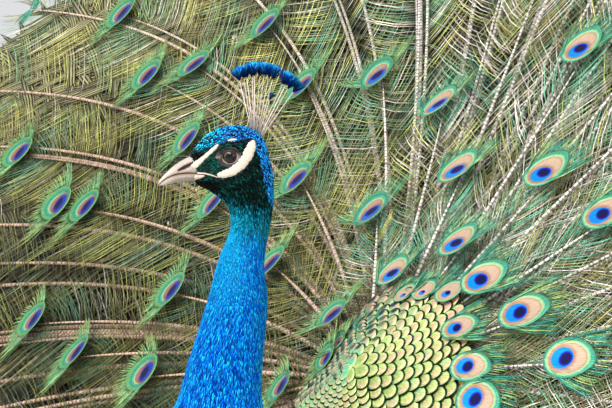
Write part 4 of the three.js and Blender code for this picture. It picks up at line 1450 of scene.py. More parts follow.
class PEACOCK_OT_crest(PieceOperator, bpy.types.Operator):
    """Crest of bare shafts with fan-shaped blue tips"""

    bl_idname = "peacock.crest"
    bl_label = "Crest"

    young = 9                              # one shaft is still growing

    def execute(self, context):
        rng = np.random.default_rng(51)
        number = body_set().crest_shafts
        each = np.arange(number)
        share = np.clip((each + 0.5) / number + rng.normal(0.0, 0.006, number), 0, 1)
        lean = np.radians(mix(-15.5, 36.5, share))
        long = mm(body_set().crest_length) * (0.91 + 0.09 * np.sin(np.pi * share) + 0.06 * share)
        long = long * rng.uniform(0.985, 1.015, number)
        fan_out = np.radians(np.where(each % 2 == 0, 1, -1) * rng.uniform(0.5, 3.0, number))
        base = head_point(mix(-17.0, -28.4, share), 1.2 * np.sin(each * 2.4),
                          mix(28.8, 22.6, share))
        forward = unit(np.sin(-lean)[:, None] * FORWARD + np.cos(lean)[:, None] * UP
                       + np.sin(fan_out)[:, None] * LEFT)
        side = unit(np.cross(forward, LEFT))
        frames = np.stack([base, forward, side, np.cross(side, forward)])
        long[self.young] *= 0.62
        cream = tint("shaft") * rng.uniform(0.75, 1.15, (number, 1))
        bend = rng.normal(0.0, 1.2, number)
        bake = np.stack([np.linspace(0.05, 0.95, number), np.full(number, 0.1)], 1)
        feathers("crest_shafts", SHAFT, frames, (long * 0.97, 0.4, 0.25), (cream * 0.9, cream),
                 bake, plumage_material("bare crest shaft", 0.5, 0.0, 0.1), "train_feathers",
                 "crest", bend=bend)
        self.tips(rng, frames, long, bend)
        return {"FINISHED"}

    def tips(self, rng, frames, long, bend):
        """Barbs that spread from the last fifth of each shaft: dark inside, bright at the rim."""
        number = len(long)
        which = np.repeat(np.arange(number), 116)
        total = len(which)
        start = rng.uniform(0.8, 0.95, total)
        frames = frames[:, which]
        frames[0] += (frames[1] * (long[which] * start)[:, None]
                      + frames[2] * (bend[which] * start ** 2)[:, None])
        spread = rng.uniform(-1.0, 1.0, total) * np.where(which == self.young, 0.25, 0.6)
        frames = tilted(swung(frames, spread), rng.normal(0.0, 0.25, total))
        reach = long[which] * (1.04 - start) / np.cos(spread) * rng.uniform(0.85, 1.0, total)
        clump = rng.uniform(0.6, 1.3, number)[which] * rng.uniform(0.5, 1.4, total)
        tip = mixed(linear("063aa4"), mixed(linear("1494ff"), linear("48e0ff"), rng.random(total)),
                    ease(start, 0.82, 0.89)) * np.maximum(clump, 0.2)[:, None]
        bake = np.stack([0.05 + 0.9 * which / number, rng.uniform(0.3, 0.9, total)], 1)
        feathers("crest_tips", BARB, frames, (reach, rng.uniform(0.3, 0.5, total), 0.3),
                 (np.tile(linear("02102c"), (total, 1)), tip), bake,
                 plumage_material("crest tip barbs", 0.4, 0.9, 0.1), "train_feathers")


# ------------------------------------------------------------------ back shield and train

# Reach of the shield at each angle from upright, in degrees and millimetres.
SHIELD_EDGE = np.array([(-180, 64), (-140, 70), (-120, 84), (-100, 68), (-80, 62), (-60, 64),
                        (-40, 82), (-20, 101), (0, 108), (20, 109), (40, 107), (60, 110),
                        (80, 119), (100, 126), (120, 112), (150, 76), (180, 64)], float)


def gold_green(near, rng):
    """Scale colours from mint (near = 0) to gold-green (near = 1), each a little different."""
    tone = mixed(linear("60d0a4"), linear("b8dc74"), np.clip(
        near + rng.normal(0, 0.2, len(near)), 0, 1))
    return tone * rng.uniform(0.7, 1.1, (len(near), 1))


class PEACOCK_OT_shield(PieceOperator, bpy.types.Operator):
    """Overlapping scale feathers in front of the train's root and over the back"""

    bl_idname = "peacock.shield"
    bl_label = "Back shield"

    def execute(self, context):
        rng = np.random.default_rng(61)
        places = []
        for k, share in enumerate(np.linspace(1.0, 0.1, 12)):
            number = max(int(2 * np.pi * 104.0 * share / mix(9.5, 13.0, share)), 6)
            turn = (np.arange(number) + 0.5 * (k % 2)) / number * 2 * np.pi - np.pi
            places.append(np.stack([turn, np.full(number, share)], 1))
        turn, share = np.concatenate(places).T
        number = len(turn)
        turn = turn + rng.normal(0.0, 0.01, number)
        edge = np.interp(np.degrees(turn), SHIELD_EDGE[:, 0], SHIELD_EDGE[:, 1])
        distance = share * edge
        frames = fan_frames(turn, distance, stack_lift(distance) + 4.0 + 6.0 * (1.0 - share ** 2))
        tone = gold_green(ease(turn, math.radians(-55.0), math.radians(50.0)), rng)
        size = mix(0.78, 1.0, share) * (edge / 105.0) ** 0.6 * rng.uniform(0.95, 1.05, number)
        frames = swung(frames, rng.normal(0.0, 0.06, number))
        frames = tilted(frames, 0.15 + rng.normal(0, 0.03, number))
        frames[0] -= frames[1] * (12.0 * size)[:, None]
        mantle_frames, *mantle = self.mantle(rng)
        rim = ease(share, 0.7, 0.95) * ease(-np.abs(turn), -1.2, -0.9)
        bars = rng.uniform(0.3, 1.3, number) * ease(-np.abs(turn + 0.9), -1.4, -0.9)
        bake = np.stack([0.5 + 0.45 * turn / np.pi, 0.03 + 0.6 * share], 1)
        size, tone, bake, bronze, teal = (np.concatenate(pair) for pair in zip(
            (size, tone, bake, rim * 0.6 + rng.uniform(0.25, 0.75, number), np.clip(bars, 0, 1)),
            mantle))
        feathers("shield_scales", SCALE, np.concatenate([frames, mantle_frames], axis=1),
                 (26.0 * size, 9.6 * size, 1.1), (tone * 0.85, tone), bake, shield_material(),
                 "back_scales", "back_scales", patch=0.022, curl=-1.6 * size,
                 values={"bronze": bronze, "teal": teal})
        return {"FINISHED"}

    def mantle(self, rng):
        """Scales over the trunk's back, in front of the shield."""
        s, a, _ = rows_on_body(21.6 / LAST_ROW, 28.5 / LAST_ROW, 12.5, 63, 0.25)
        keep = np.abs(np.degrees(a) - 90.0) < 62.0
        s, a = s[keep], a[keep]
        frames = tilted(body_frames(s, a), 0.12 + rng.normal(0.0, 0.03, len(s)))
        bake = np.stack([0.1 + 0.8 * a / np.pi, 0.7 + 0.25 * s], 1)
        return (frames, np.full(len(s), 0.85), gold_green(ease(-a, -2.6, -0.8), rng), bake,
                np.zeros(len(s)), rng.random(len(s)) * 0.8)


class PEACOCK_OT_train(PieceOperator, bpy.types.Operator):
    """Stems, eye spots and loose barbs of the train"""

    bl_idname = "peacock.train"
    bl_label = "Train"

    def execute(self, context):
        angles, distance, size, eye = eye_feathers()
        discs = self.spots(angles, distance, size, eye)
        self.fringes(angles, distance, size, discs)
        fish_angles, fish_distance = self.fish_tails()
        angles = np.concatenate([angles, fish_angles])
        distance = np.concatenate([distance, fish_distance])
        self.stems(angles, distance)
        self.barbs(angles, distance, discs)
        webs = train_set().webs
        # Webs and a sparser, larger backing behind them: barbs deep in the fan, dark as painted
        # shade.
        self.webs("train_webs", webs, 1.0, (-10.0, -3.0), barb_sheet_material(5))
        self.webs("train_backing", webs // 6, 1.5, (-13.0, -10.5), barb_sheet_material(9))
        return {"FINISHED"}

    def spots(self, angles, distance, size, eye):
        """Eye spots: an egg-shaped disc cupped a little, with a flat back just behind it."""
        rng = np.random.default_rng(71)
        number = len(angles)
        frames = fan_frames(angles, distance, stack_lift(distance) + 8.0)
        frames = tilted(frames, rng.normal(-0.17, 0.05, number))
        point, along, across, normal = swivelled(frames, 2, 3, rng.normal(0.0, 0.07, number))
        rings, around = 6, 24
        share = np.linspace(0.14, 1.0, rings)[:, None]
        x, y = share * np.sin(turns(around)), share * np.cos(turns(around))
        front = np.stack([x * (SPOT_WIDE * (1.0 - 0.08 * y)),
                          y * (1.0 + 0.12 * np.maximum(y, 0.0) ** 8) * SPOT_LONG,
                          2.2 * (share ** 2) + 0 * x], -1)
        back = front[::-1] - np.array([0.0, 0.0, 0.5])
        shell = np.concatenate([np.concatenate([front, back]).reshape(-1, 3),
                                [[0, 0, 0], [0, 0, -0.5]]])
        uv = np.stack([x, y], -1) * 0.5 + 0.5
        uv = np.concatenate([np.concatenate([uv, uv[::-1]]).reshape(-1, 2),
                             [[0.5, 0.5], [0.5, 0.5]]])
        local = shell[None] * size[:, None, None]
        points = (point[:, None] + local[..., :1] * across[:, None]
                  + local[..., 1:2] * along[:, None] + local[..., 2:] * normal[:, None])
        k = len(shell)
        faces = (capped(shell, 2 * rings, around)[None]
                 + (np.arange(number) * k)[:, None, None]).reshape(-1, 3)
        cells = int(math.ceil(math.sqrt(number)))
        cell = np.stack([np.arange(number) % cells, np.arange(number) // cells], 1)
        bake = (cell[:, None] + 0.06 + 0.88 * uv[None]).reshape(-1, 2) / cells
        piece("eye_spots", (points.reshape(-1, 3), faces, bake), eye_spot_material(),
              "train_feathers", *TRAIN_NODES, vane=np.tile(uv, (number, 1)),
              values={"eye_scale": np.repeat(eye, k), "far": np.repeat(far_spot(angles), k)})
        return point, across, along, normal, size

    def fringes(self, angles, distance, size, discs):
        """Barbs that run along each eye spot's sides and meet beyond its tip."""
        rng = np.random.default_rng(73)
        per = 88
        which = np.repeat(np.arange(len(angles)), per)
        rank = np.tile(np.arange(per), len(angles))
        total = len(which)
        turn = np.where(rank % 2 == 0, 1.0, -1.0) * np.pi * (
            (rank // 2 + rng.uniform(0.2, 0.8, total)) / (per / 2)) ** 0.85
        scale, far = size[which], far_spot(angles[which])
        centre, across, along, normal = (v[which] for v in discs[:4])
        x, y = np.sin(turn), np.cos(turn)
        ring = np.where(rank % 4 < 2, 0.96, 0.87) + rng.uniform(-0.03, 0.03, total)
        roots = (centre + across * (x * SPOT_WIDE * ring * scale)[:, None] + normal * 1.9
                 + along * (y * SPOT_LONG * ring * scale)[:, None])
        flare = x * mix(0.8, 0.42, ease(y, -0.6, 0.6)) * (1.0 + 1.3 * far)
        forward = unit(across * flare[:, None] + along)
        frames = tilted(framed(roots, forward, normal), rng.normal(-0.03, 0.04, total))
        long = scale * mix(58.0, 27.0, ease(y, -0.7, 0.8)) * rng.uniform(0.75, 1.1, total)
        tone = mixed(tint("barb_green"), linear("1a8a78"), rng.random(total))
        tone = np.where((rng.random(total) < 0.34)[:, None], linear("b4cc78"), tone)
        tone = mix(tone, linear("74c088"), 0.7 * far[:, None])
        bend = -x * mix(16.0, 8.0, ease(y, -0.7, 0.4)) * scale
        tips = roots + frames[1] * long[:, None] + frames[2] * bend[:, None]
        keep = ~over_spot(tips, discs) & (y > -0.75)
        tone = tone * rng.uniform(0.6, 1.2, (total, 1))
        tip = mix(tone * 0.8, linear("c4bc58"), far[:, None] * rng.random((total, 1)))
        wide = mix(0.55, 0.75, far) * np.sqrt(scale)
        bake = fan_bake(angles[which], distance[which] + y * 25)
        feathers("spot_fringes", BARB, frames[:, keep], (long[keep], wide[keep], 0.35),
                 (tone[keep], tip[keep]), bake[keep], barb_material("glossy fringe barbs", 0.4),
                 "train_feathers", bend=bend[keep])

    def fish_tails(self):
        """Longest feathers, which end in a forked green crescent and no eye spot."""
        t, rng = train_set(), np.random.default_rng(75)
        number = t.fish_tails
        angles = np.linspace(-0.98, 0.98, number) * t.half_angle + rng.normal(0, 0.008, number)
        tips = mm(t.reach) * 0.965 * side_share(angles)
        which = np.repeat(np.arange(number), 60)
        total = len(which)
        point, along, across, normal = fan_frames(angles, tips - 14.0, 0.0 * tips)[:, which]
        place = rng.uniform(-1.0, 1.0, total)
        inner = 1 - np.abs(place)
        roots = point - along * (14.0 * rng.random(total))[:, None]
        forward = unit(across * (np.sign(place) * 0.9)[:, None]
                       + along * (0.25 + 0.8 * inner)[:, None])
        long = 30.0 * rng.uniform(0.6, 1.1, total) * mix(1.0, 0.6, inner)
        tone = mixed(tint("barb_green"), linear("2a6f5a"), rng.random(total))
        feathers("fish_tails", BARB, framed(roots, forward, normal), (long, 0.7, 0.5),
                 (tone, tone * 0.7), fan_bake(angles[which], tips[which] - 10.0),
                 barb_material("forked tip barbs", 0.45), "train_feathers",
                 bend=np.sign(place) * 6.0)
        return angles, tips - 16.0

    def stems(self, angles, distance):
        """Stems: tapered five-sided tubes along the fan's surface up to each tip."""
        rows, around = 26, 5
        reach = mix(26.0, distance[:, None] - 2.0, np.linspace(0.0, 1.0, rows) ** 0.9)
        lift = stack_lift(distance)[:, None] + 0 * reach
        centre, _, across, normal = fan_frames(angles[:, None] + 0 * reach, reach, lift)
        far = ease(-angles, math.radians(30.0), math.radians(60.0))[:, None]
        thick = np.minimum(0.45 + 2.6 * (1.0 - reach / distance[:, None]) ** 0.8, 1.75)
        thick = (thick * mix(1.0, 1.35, far))[..., None]
        rings = (centre[:, :, None]
                 + (thick * np.cos(turns(around)))[..., None] * across[:, :, None]
                 + (thick * np.sin(turns(around)))[..., None] * normal[:, :, None])
        bake = fan_bake(np.repeat(angles, rows * around),
                        np.repeat(reach.ravel(), around)).reshape(len(angles), -1, 2)
        shapes = [(*closed_loft(ring)[:2], np.concatenate([place, place[:1], place[-1:]]))
                  for ring, place in zip(rings, bake)]
        shade = np.random.default_rng(80).uniform(0.75, 1.2, len(angles))
        tone = mix(tint("stem"), linear("dcb8a0"), far) * shade[:, None]
        piece("train_stems", joined(shapes), quill_material(), "train_feathers",
              colours=np.repeat(tone, rows * around + 2, axis=0))

    def barbs(self, angles, distance, discs):
        """Barbs evenly spaced back from the tip on both sides of each stem. Each leaves its stem
        at 30 degrees beside the eye spot and at 56 further down, bends towards the tip and
        stops short of the eye spots it would cross."""
        rng = np.random.default_rng(78)
        gap = mm(train_set().barb_gap)
        finish = barb_material("loose bronze-green barbs", 0.45)
        number = int(mm(train_set().barbed) / gap)
        hue = rng.random(len(angles))
        layer = rng.normal(0.0, 1.3, len(angles))
        for index, group in enumerate(np.array_split(np.argsort(distance), 4)):
            which = np.repeat(group, number * 2)
            total = len(which)
            rank = np.tile(np.repeat(np.arange(number), 2), len(group))
            hand = np.where(np.arange(total) % 2 == 0, 1.0, -1.0)
            full = distance[which]
            step = gap * mix(0.6, 1.0, ease(full, 100.0, 450.0))
            back = 12.0 + (rank + rng.uniform(-0.15, 0.15, total)) * step
            keep = full - back > mix(58.0, 70.0, rng.random(total))
            keep &= rng.random(total) < mix(1.0, 0.5, ease(back, 90.0, 330.0))
            which, hand, full, back = (v[keep] for v in (which, hand, full, back))
            total, angle_ = len(which), angles[which]
            frames = fan_frames(angle_, full - back, stack_lift(full) + layer[which])
            open_ = np.radians(mix(30.0, 56.0, ease(back, 10.0, 120.0))
                               + 8.0 * (hue[which] - 0.5) + rng.normal(0.0, 0.7, total))
            frames = swung(frames, open_ * hand)
            frames[2] = unit(np.cross(frames[3], frames[1]))
            frames = tilted(frames, rng.normal(0.0, 0.01, total))
            grow = mix(0.42, 1.0, ease(full, 110.0, 480.0))
            long = grow * mix(58.0, 108.0, ease(back, 0.0, 120.0)) * rng.uniform(0.9, 1.06, total)
            bend = -hand * rng.uniform(20.0, 24.0, total) * grow
            first, last = clear_span(frames, long, bend, discs)
            _, forward, side, _ = frames
            frames[0] = (frames[0] + forward * (long * first)[:, None]
                         + side * (bend * first ** 2)[:, None])
            path = forward * long[:, None] + side * (2.0 * bend * first)[:, None]
            frames[1], span = unit(path), last - first
            tone = barb_tones(rng, angle_, back, hue[which]) * far_shade(angle_, frames[0])
            keep = span > 0.2
            feathers(f"train_barbs_{index + 1}", BARB, frames[:, keep],
                     ((np.linalg.norm(path, axis=1) * span)[keep], mix(0.4, 0.58, grow)[keep],
                      0.4), (tone[keep] * 0.7, tone[keep] * 1.15),
                     fan_bake(angle_, full - back)[keep], finish, "train_feathers",
                     bend=(bend * span ** 2)[keep])

    def webs(self, name, number, size, lift, finish):
        """Bundles of close-set barbs behind the stems, dark as painted shade deep in the fan,
        spread evenly so that no gap shows.
        """
        t, rng = train_set(), np.random.default_rng(79)
        even = (0.5 + np.arange(number)[:, None] * np.array([0.7548776662, 0.5698402910])) % 1.0
        angles = (2.0 * even[:, 0] - 1.0) * t.half_angle
        inside = 0.965 - 0.045 * size
        place = np.maximum(even[:, 1] ** 0.56 * mm(t.reach) * inside * side_share(angles), 66.0)
        near = ease(angles, math.radians(-66.0), math.radians(-24.0))
        frames = fan_frames(angles, place, rng.uniform(*lift, number))
        hand = np.where(rng.random(number) < 0.5, 1.0, -1.0)
        frames = swung(frames, np.radians(rng.uniform(24.0, 52.0, number)) * hand)
        # Painted shade: the webs are dark, darker still on the near side behind its bright barbs.
        tone = mixed(tint("barb_dark"), linear("56523a"), rng.random(number) ** mix(1.4, 2.8, near))
        tone = mixed(tone, linear("3a5a48"), 0.5 * near * (rng.random(number) < 0.4))
        grow = size * (mix(0.5, 1.0, ease(place, 80.0, 400.0)) + 0.4 * ease(place, 650.0, 1100.0))
        # Painted light: the outer webs on the far side are paler, as if lit from above.
        outer = ease(place, 800.0, 1200.0) * (1.0 - near)
        tone = mixed(tone, linear("b4ac7c"), 0.85 * outer) * far_shade(angles, frames[0])
        frames[0] -= frames[1] * (34.0 * grow)[:, None]
        feathers(name, HAIR, frames, (82.0 * grow * rng.uniform(0.8, 1.1, number),
                                      6.6 * grow * rng.uniform(0.8, 1.15, number), 0.5),
                 (tone, tone * 1.1), fan_bake(angles, place), finish, "train_feathers",
                 bend=-hand * 9.0 * grow)


# ------------------------------------------------------------------ tail and wings

def large_vanes(name, frames, sizes, rng, tones, end, finish, slot, *nodes, curl=None):
    """Tail or flight feathers: large vanes with a pale shaft, each a little different."""
    number = frames.shape[1]
    tone = np.ones((number, 3)) * rng.uniform(*tones, (number, 1))
    bake = np.stack([(np.arange(number) + 0.5) / number, np.full(number, 0.5)], 1)
    feathers(name, QUILL, frames, sizes, (tone, tone * end), bake, vane_material(*finish), slot,
             *nodes, patch=0.045, curl=rng.normal(*curl, number) if curl else 0.0)


class PEACOCK_OT_tail(PieceOperator, bpy.types.Operator):
    """Brown tail feathers that prop the train from behind"""

    bl_idname = "peacock.tail"
    bl_label = "Tail"

    def execute(self, context):
        t, rng = train_set(), np.random.default_rng(81)
        number = t.tail_feathers
        angles = np.linspace(-1.0, 1.0, number) * math.radians(76.0)
        layer = -14.5 - 1.1 * (np.arange(number) % 2) - 0.4 * (np.arange(number) % 3)
        points, _, _, normal = fan_frames(angles, np.full(number, 58.0), layer)
        reach = fan_point(angles, np.full(number, mm(t.tail_length)), layer) - points
        along = unit(reach)
        normal = unit(normal - along * np.einsum("ij,ij->i", normal, along)[:, None])
        long = np.linalg.norm(reach, axis=1) * rng.uniform(0.97, 1.0, number)
        large_vanes("tail_feathers", np.stack([points, along, np.cross(normal, along), normal]),
                    (long, 29.0, 1.1), rng, (0.85, 1.1), 1.0,
                    ("matt brown tail vane", "6e5a48", "3d2f25", 0.75, 9.0, 1.0),
                    "tail_feathers", "tail", curl=(-3.0, 2.0))
        return {"FINISHED"}


# Stations of the trunk beside the wings: y, middle height, half height, half width.
TRUNK_SIDE = np.array([(-158, 394, 62, 55), (-126, 392, 87, 77), (-80, 391, 100, 87),
                       (-28, 392, 103, 91), (26, 395, 101, 90), (76, 401, 91, 83),
                       (122, 409, 73, 69), (160, 415, 52, 51)], float)


def wing_place(u, v, out, side):
    """Point of the folded wing, u from shoulder to rear and v from lower to upper edge: on the
    trunk's ellipse at that place, pushed out."""
    open_ = 0.12 + 0.88 * np.sqrt(np.clip(1 - (2 * u - 1) ** 4, 0, 1))
    y = mix(-118.0, 82.0, u)
    turn = np.radians(mix(6.0, 8.0, u) + 34.0 * open_ * (2 * v - 1))
    bulge = np.sqrt(np.clip(1 - (2 * v - 1) ** 2, 0, 1))
    out = 2.2 + out + 11.0 * bulge * open_
    middle, tall, wide = (np.interp(y, TRUNK_SIDE[:, 0], column) for column in TRUNK_SIDE.T[1:])
    tall, wide = tall + out, wide + out
    reach = tall * wide / np.hypot(np.cos(turn) * tall, np.sin(turn) * wide)
    return mirrored(np.stack([reach * np.cos(turn), y + 0 * reach,
                              middle + reach * np.sin(turn)], -1), side)


def wing_frames(u, v, out, side):
    """Point, direction to the rear, sideways direction and normal on the folded wing."""
    back = slope(lambda here: wing_place(here, v, out, side), u, 1e-3, 0, 1)
    rise = slope(lambda here: wing_place(u, here, out, side), v, 1e-3, 0, 1)
    normal = unit(np.cross(back, rise))
    return framed(wing_place(u, v, out, side), back, normal * np.sign(normal[..., :1] * side))


class PEACOCK_OT_wings(PieceOperator, bpy.types.Operator):
    """Barred wing coverts and lowered chestnut flight feathers"""

    bl_idname = "peacock.wings"
    bl_label = "Wings"

    def execute(self, context):
        self.pads()
        self.coverts()
        self.flight()
        return {"FINISHED"}

    def pads(self):
        u, v = grid(np.linspace(0.0, 1.0, 40), np.linspace(0.0, 1.0, 26))
        pads = joined([closed_loft(np.concatenate([wing_place(u, v, -2.5, side),
                                                   wing_place(u, v[:, ::-1], -9.0, side)], axis=1))
                       for side, _ in SIDES])
        piece("wing_pads", pads, plumage_material("wing underlayer", 0.8, 0.0, 0.2),
              "wing_feathers", "wing_l", "wing_r",
              colours=np.tile(linear("4a3f33"), (len(pads[0]), 1)))

    def coverts(self):
        rng, rear = np.random.default_rng(91), 0.92
        parts, places = [], []
        for side, _ in SIDES:
            u, v = grid(np.linspace(0.0, rear, 15), np.linspace(0.03, 0.99, 10))
            u = u + 0.5 * rear / 14 * (np.arange(10)[None] % 2)
            u = np.clip(u + rng.uniform(-0.018, 0.018, u.shape), 0, 1)
            parts.append(wing_frames(u.ravel(), v.ravel(), -1.5, side))
            places.append(np.stack([u.ravel(), v.ravel()], 1))
        frames, places = np.concatenate(parts, axis=1), np.concatenate(places)
        number = len(places)
        frames = ruffled(rng, frames, 0.1, 0.12, 0.2)
        tone = mixed((1.0, 1.0, 1.0), linear("c9b48c"), rng.random(number) * 0.5)
        tone = tone * rng.uniform(0.85, 1.1, (number, 1))
        size = mix(0.7, 1.35, places[:, 0])
        feathers("wing_coverts", SCALE, frames, (34.0 * size, 11.0 * size, 1.3),
                 (tone * 0.8, tone), 0.02 + 0.96 * places,
                 vane_material("barred buff covert", "c9b48f", "2c241d", 0.7, 3.4, 2.2),
                 "wing_feathers", patch=0.02, curl=-2.5 * size)

    def flight(self):
        share = np.linspace(0.0, 1.0, 10)
        swing = np.radians(mix(-2.0, 60.0, share))
        forward = unit(np.stack([0.1 + 0 * swing, np.sin(swing), -np.cos(swing)], 1))
        outside = np.array([1.0, 0.0, 0.1])
        out = unit(outside - forward * (forward @ outside)[:, None])
        layer = 0.55 * (np.arange(10) - 4.5)
        base = np.array([97.0, 8.0, 392.0]) + forward * 8.0 + out * layer[:, None]
        base, forward, out = (np.concatenate([mirrored(v, side) for side, _ in SIDES])
                              for v in (base, forward, out))
        long = np.tile(244.0 * (1 - 0.17 * share ** 2), 2)
        large_vanes("flight_feathers", np.stack([base, forward, np.cross(out, forward), out]),
                    (long, 15.5, 0.55), np.random.default_rng(93), (0.88, 1.1), 0.9,
                    ("chestnut flight vane", "a4632e", "5c3216", 0.62, 7.0, 0.7),
                    "flight_feathers", "primaries_l", "primaries_r")


# ------------------------------------------------------------------ legs and feet

TARSUS_TOP = np.array([56.0, 102.0, 152.0])
FOOT = np.array([56.0, 74.0, 13.0])
AHEAD = np.array([0.0, -1.0, 0.2])
# Name, turn from straight ahead in degrees, length and thickness.
TOES = [("middle", 4.0, 80.0, 6.0), ("inner", -30.0, 59.2, 5.4), ("outer", 36.0, 62.4, 5.4),
        ("hind", 196.0, 33.6, 4.6)]
TOE_SINK = 1.4                             # how far a toe's round section is cut by the floor


def toe_path(turn, reach, height):
    """Points along a toe: distance from the foot's middle, at a turn from straight ahead."""
    turn = math.radians(turn)
    return np.stack([FOOT[0] + reach * math.sin(turn), FOOT[1] - reach * math.cos(turn),
                     height], -1)


def tube(centres, wide, tall, around, up=UP):
    """Rings round a path, wide across and tall upwards, square to the path."""
    tangent = unit(np.gradient(centres, axis=0))
    side = unit(np.cross(tangent, np.broadcast_to(up, tangent.shape)))
    rise, turn = np.cross(side, tangent), turns(around)
    return (centres[:, None] + (wide[:, None] * np.cos(turn))[..., None] * side[:, None]
            + (tall[:, None] * np.sin(turn))[..., None] * rise[:, None])


def above(rings, floor):
    """Rings flattened where they would go below a height."""
    rings[..., 2] = np.maximum(rings[..., 2], floor)
    return rings


def stations(values, t):
    """One measure along a part."""
    return along_table(np.array(values)[:, None], t)[:, 0]


def toe_rings(turn, long, thick):
    """A toe: a tapering tube with a pad at every joint, rounded at its tip, flat on the floor."""
    t = np.linspace(0.0, 1.0, 54)
    rest = thick - TOE_SINK
    height = stations((rest + 4, rest + 0.6, rest * 0.92, rest * 0.8), t)
    pads = 1.0 + 0.07 * np.cos(t * long / 17.0 * 2 * np.pi)
    scutes = 1.0 + 0.012 * np.cos(t * long / 3.2 * 2 * np.pi)
    close = np.sqrt(np.clip(1.0 - ((t - 0.9) / 0.1).clip(0, 1) ** 2, 0.03, 1))
    size = thick * mix(1.0, 0.76, t) * pads * scutes * close
    return above(tube(toe_path(turn, t * long * 0.955, height), size * 0.96, size, 22), 0.0)


def claw_rings(turn, long, thick):
    """A claw: a thin cone that curves down from the toe's tip."""
    t = np.linspace(0.0, 1.0, 30)
    reach = long * 0.9 + t * (long * 0.1 + thick * 2.25)
    height = thick * mix(0.66, 0.3, t ** 1.8) + thick * 0.1 * np.sin(np.pi * t)
    size = thick * np.maximum(0.52 * (1 - t) ** 0.62, 0.03)
    return above(tube(toe_path(turn, reach, height), size * 0.85, size, 18), 0.6)


class PEACOCK_OT_legs(PieceOperator, bpy.types.Operator):
    """Scaly legs and toes, spurs and claws"""

    bl_idname = "peacock.legs"
    bl_label = "Legs and feet"

    def execute(self, context):
        scaly = skin_like("scaly leg skin", "a89c8e", "5f5348", 3.2, 0.5, 1.2)
        claw = skin_like("dark claw horn", "5a4d42", "2e2621", 4.0, 0.35, 0.1)
        t = np.linspace(0.0, 1.0, 90)
        scutes = 1.0 + 0.045 * (1.0 - (t * 128.0 / 6.0) % 1.0)
        shank = tube(mix(TARSUS_TOP, FOOT + np.array([0.0, 0.0, -2.0]), t[:, None]),
                     stations((6.2, 6.0, 5.4, 5.4, 6.4, 8.2), t) * scutes,
                     stations((7.0, 7.0, 6.4, 6.4, 7.2, 8.6), t) * scutes, 30, AHEAD)
        pad = tube(FOOT + np.array([[0, 2.0, 6.0], [0, 0, 0], [0, -1.0, -5.0], [0, -1, -9]]),
                   np.array([7.6, 8.8, 8.4, 4.0]), np.array([8.0, 9.4, 9.0, 4.0]), 26, AHEAD)
        toes, claws = ([rings(*toe) for _, *toe in TOES] for rings in (toe_rings, claw_rings))
        t = np.linspace(0.0, 1.0, 24)
        size = np.maximum(3.7 * (1 - t) ** 0.6, 0.15)
        spur = tube(mix(TARSUS_TOP, FOOT, 0.46)
                    + np.stack([-2 - 9 * t, 2 + 15.5 * t, t ** 2 * 6.0], 1), size, size, 18)
        for side, letter in SIDES:
            for name, rings, finish, slot, nodes in (
                    ("scaly_tarsus", [shank], scaly, "leg_skin", ["tarsus"]),
                    ("scaly_foot", [*toes, above(pad, 0.8)], scaly, "leg_skin", ["foot"]),
                    ("claws", claws, claw, "claw", [f"claw_{toe}" for toe, *_ in TOES]),
                    ("horn_spur", [spur], claw, "claw", ["spur"])):
                piece(f"{name}_{letter}", joined([closed_loft(mirrored(ring, side))
                                                  for ring in rings]),
                      finish, slot, *[f"{node}_{letter}" for node in nodes])
        return {"FINISHED"}


# ------------------------------------------------------------------ stage

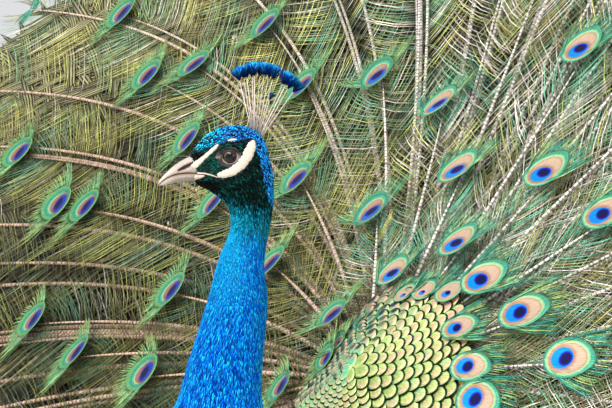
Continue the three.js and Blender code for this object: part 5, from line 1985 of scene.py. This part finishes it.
class PEACOCK_OT_stage(PieceOperator, bpy.types.Operator):
    """Pale floor, soft studio light and the camera"""

    bl_idname = "peacock.stage"
    bl_label = "Stage"

    def execute(self, context):
        self.floor()
        self.light("key", (1.1, -2.6, 4.3), (4.0, 1.7), 240.0)
        self.light("front", (-1.6, -4.4, 2.6), (3.4, 3.4), 78.0)
        self.light("fill", (4.8, 0.9, 2.0), (3.0, 3.0), 52.0)
        self.light("rim", (0.5, 3.8, 3.4), (2.6, 2.6), 90.0)
        world = bpy.data.worlds.new("studio")
        world.use_nodes = True
        background = world.node_tree.nodes["Background"]
        background.inputs["Color"].default_value = rgba("eef0f2")
        background.inputs["Strength"].default_value = 0.86
        context.scene.world = world
        context.scene.view_settings.view_transform = "Standard"    # shows colours as they are set
        self.camera(context)
        return {"FINISHED"}

    def floor(self):
        half = 9.0
        mesh = bpy.data.meshes.new("floor")
        corners = [(-half, -half, 0), (half, -half, 0), (half, half, 0), (-half, half, 0)]
        mesh.from_pydata(corners, [], [(0, 1, 2, 3)])
        floor = new_object("floor", mesh)
        mesh.materials.append(material("matt pale floor", 0.85, 0.5, **{
            "Base Color": rgba("d9d6d0")})[0])

    def light(self, name, place, size, power):
        data = bpy.data.lights.new(name, "AREA")
        data.shape = "RECTANGLE"
        data.size, data.size_y = size
        data.energy = power
        aim(new_object(name, data), np.array(place), np.array([0.0, 0.0, 0.7]))

    def camera(self, context):
        view_turn, view_rise = math.radians(52.0), math.radians(6.0)
        away, scale = 4.0, 1.1            # metres; pixels for each millimetre at the head
        head_px = (232.0, 160.0)
        toward = np.array([math.sin(view_turn) * math.cos(view_rise),
                           -math.cos(view_turn) * math.cos(view_rise), math.sin(view_rise)])
        right = np.array([math.cos(view_turn), math.sin(view_turn), 0.0])
        up = np.cross(toward, right)
        target = to_frame(HEAD) + (right * (IMAGE_WIDTH / 2 - head_px[0])
                                   + up * (head_px[1] - IMAGE_HEIGHT / 2)) / scale / 1000.0
        data = bpy.data.cameras.new("camera")
        data.sensor_width = 36.0
        data.lens = 36.0 * away / (IMAGE_WIDTH / scale / 1000.0)
        data.clip_end = 60.0
        view = new_object("camera", data)
        aim(view, target + toward * away, target)
        context.scene.camera = view


def aim(thing, place, target):
    """Puts a lamp or camera at place, looking at target, upright."""
    thing.location = Vector(place)
    thing.rotation_euler = Vector(target - place).to_track_quat("-Z", "Y").to_euler()


class PEACOCK_PT_panel(bpy.types.Panel):
    """Buttons and settings of the peacock"""

    bl_label = "Peacock"
    bl_idname = "PEACOCK_PT_panel"
    bl_space_type = "VIEW_3D"
    bl_region_type = "UI"
    bl_category = "Peacock"

    def draw(self, context):
        for step in STEPS:
            self.layout.operator(step.bl_idname)
        for name, group in GROUPS.items():
            box = self.layout.box()
            for key in group.__annotations__:
                box.prop(getattr(context.scene, name), key)


STEPS = (PEACOCK_OT_skin, PEACOCK_OT_head_coat, PEACOCK_OT_eyes, PEACOCK_OT_bill,
         PEACOCK_OT_crest, PEACOCK_OT_neck_coat, PEACOCK_OT_trunk_coat, PEACOCK_OT_shield,
         PEACOCK_OT_train, PEACOCK_OT_tail, PEACOCK_OT_wings, PEACOCK_OT_legs,
         PEACOCK_OT_stage)
GROUPS = {"peacock_body": PeacockBody, "peacock_train": PeacockTrain,
          "peacock_colours": PeacockColours}
CLASSES = (*GROUPS.values(), *STEPS, PEACOCK_PT_panel)


def register():
    """Adds the classes and the scene's settings."""
    for cls in CLASSES:
        bpy.utils.register_class(cls)
    for name, group in GROUPS.items():
        setattr(bpy.types.Scene, name, bpy.props.PointerProperty(type=group))


def unregister():
    """Removes the scene's settings and the classes."""
    for name in GROUPS:
        delattr(bpy.types.Scene, name)
    for cls in reversed(CLASSES):
        bpy.utils.unregister_class(cls)


def main():
    """Builds everything in order."""
    register()
    for step in STEPS:
        group, name = step.bl_idname.split(".")
        getattr(getattr(bpy.ops, group), name)()


if __name__ == "__main__":
    main()
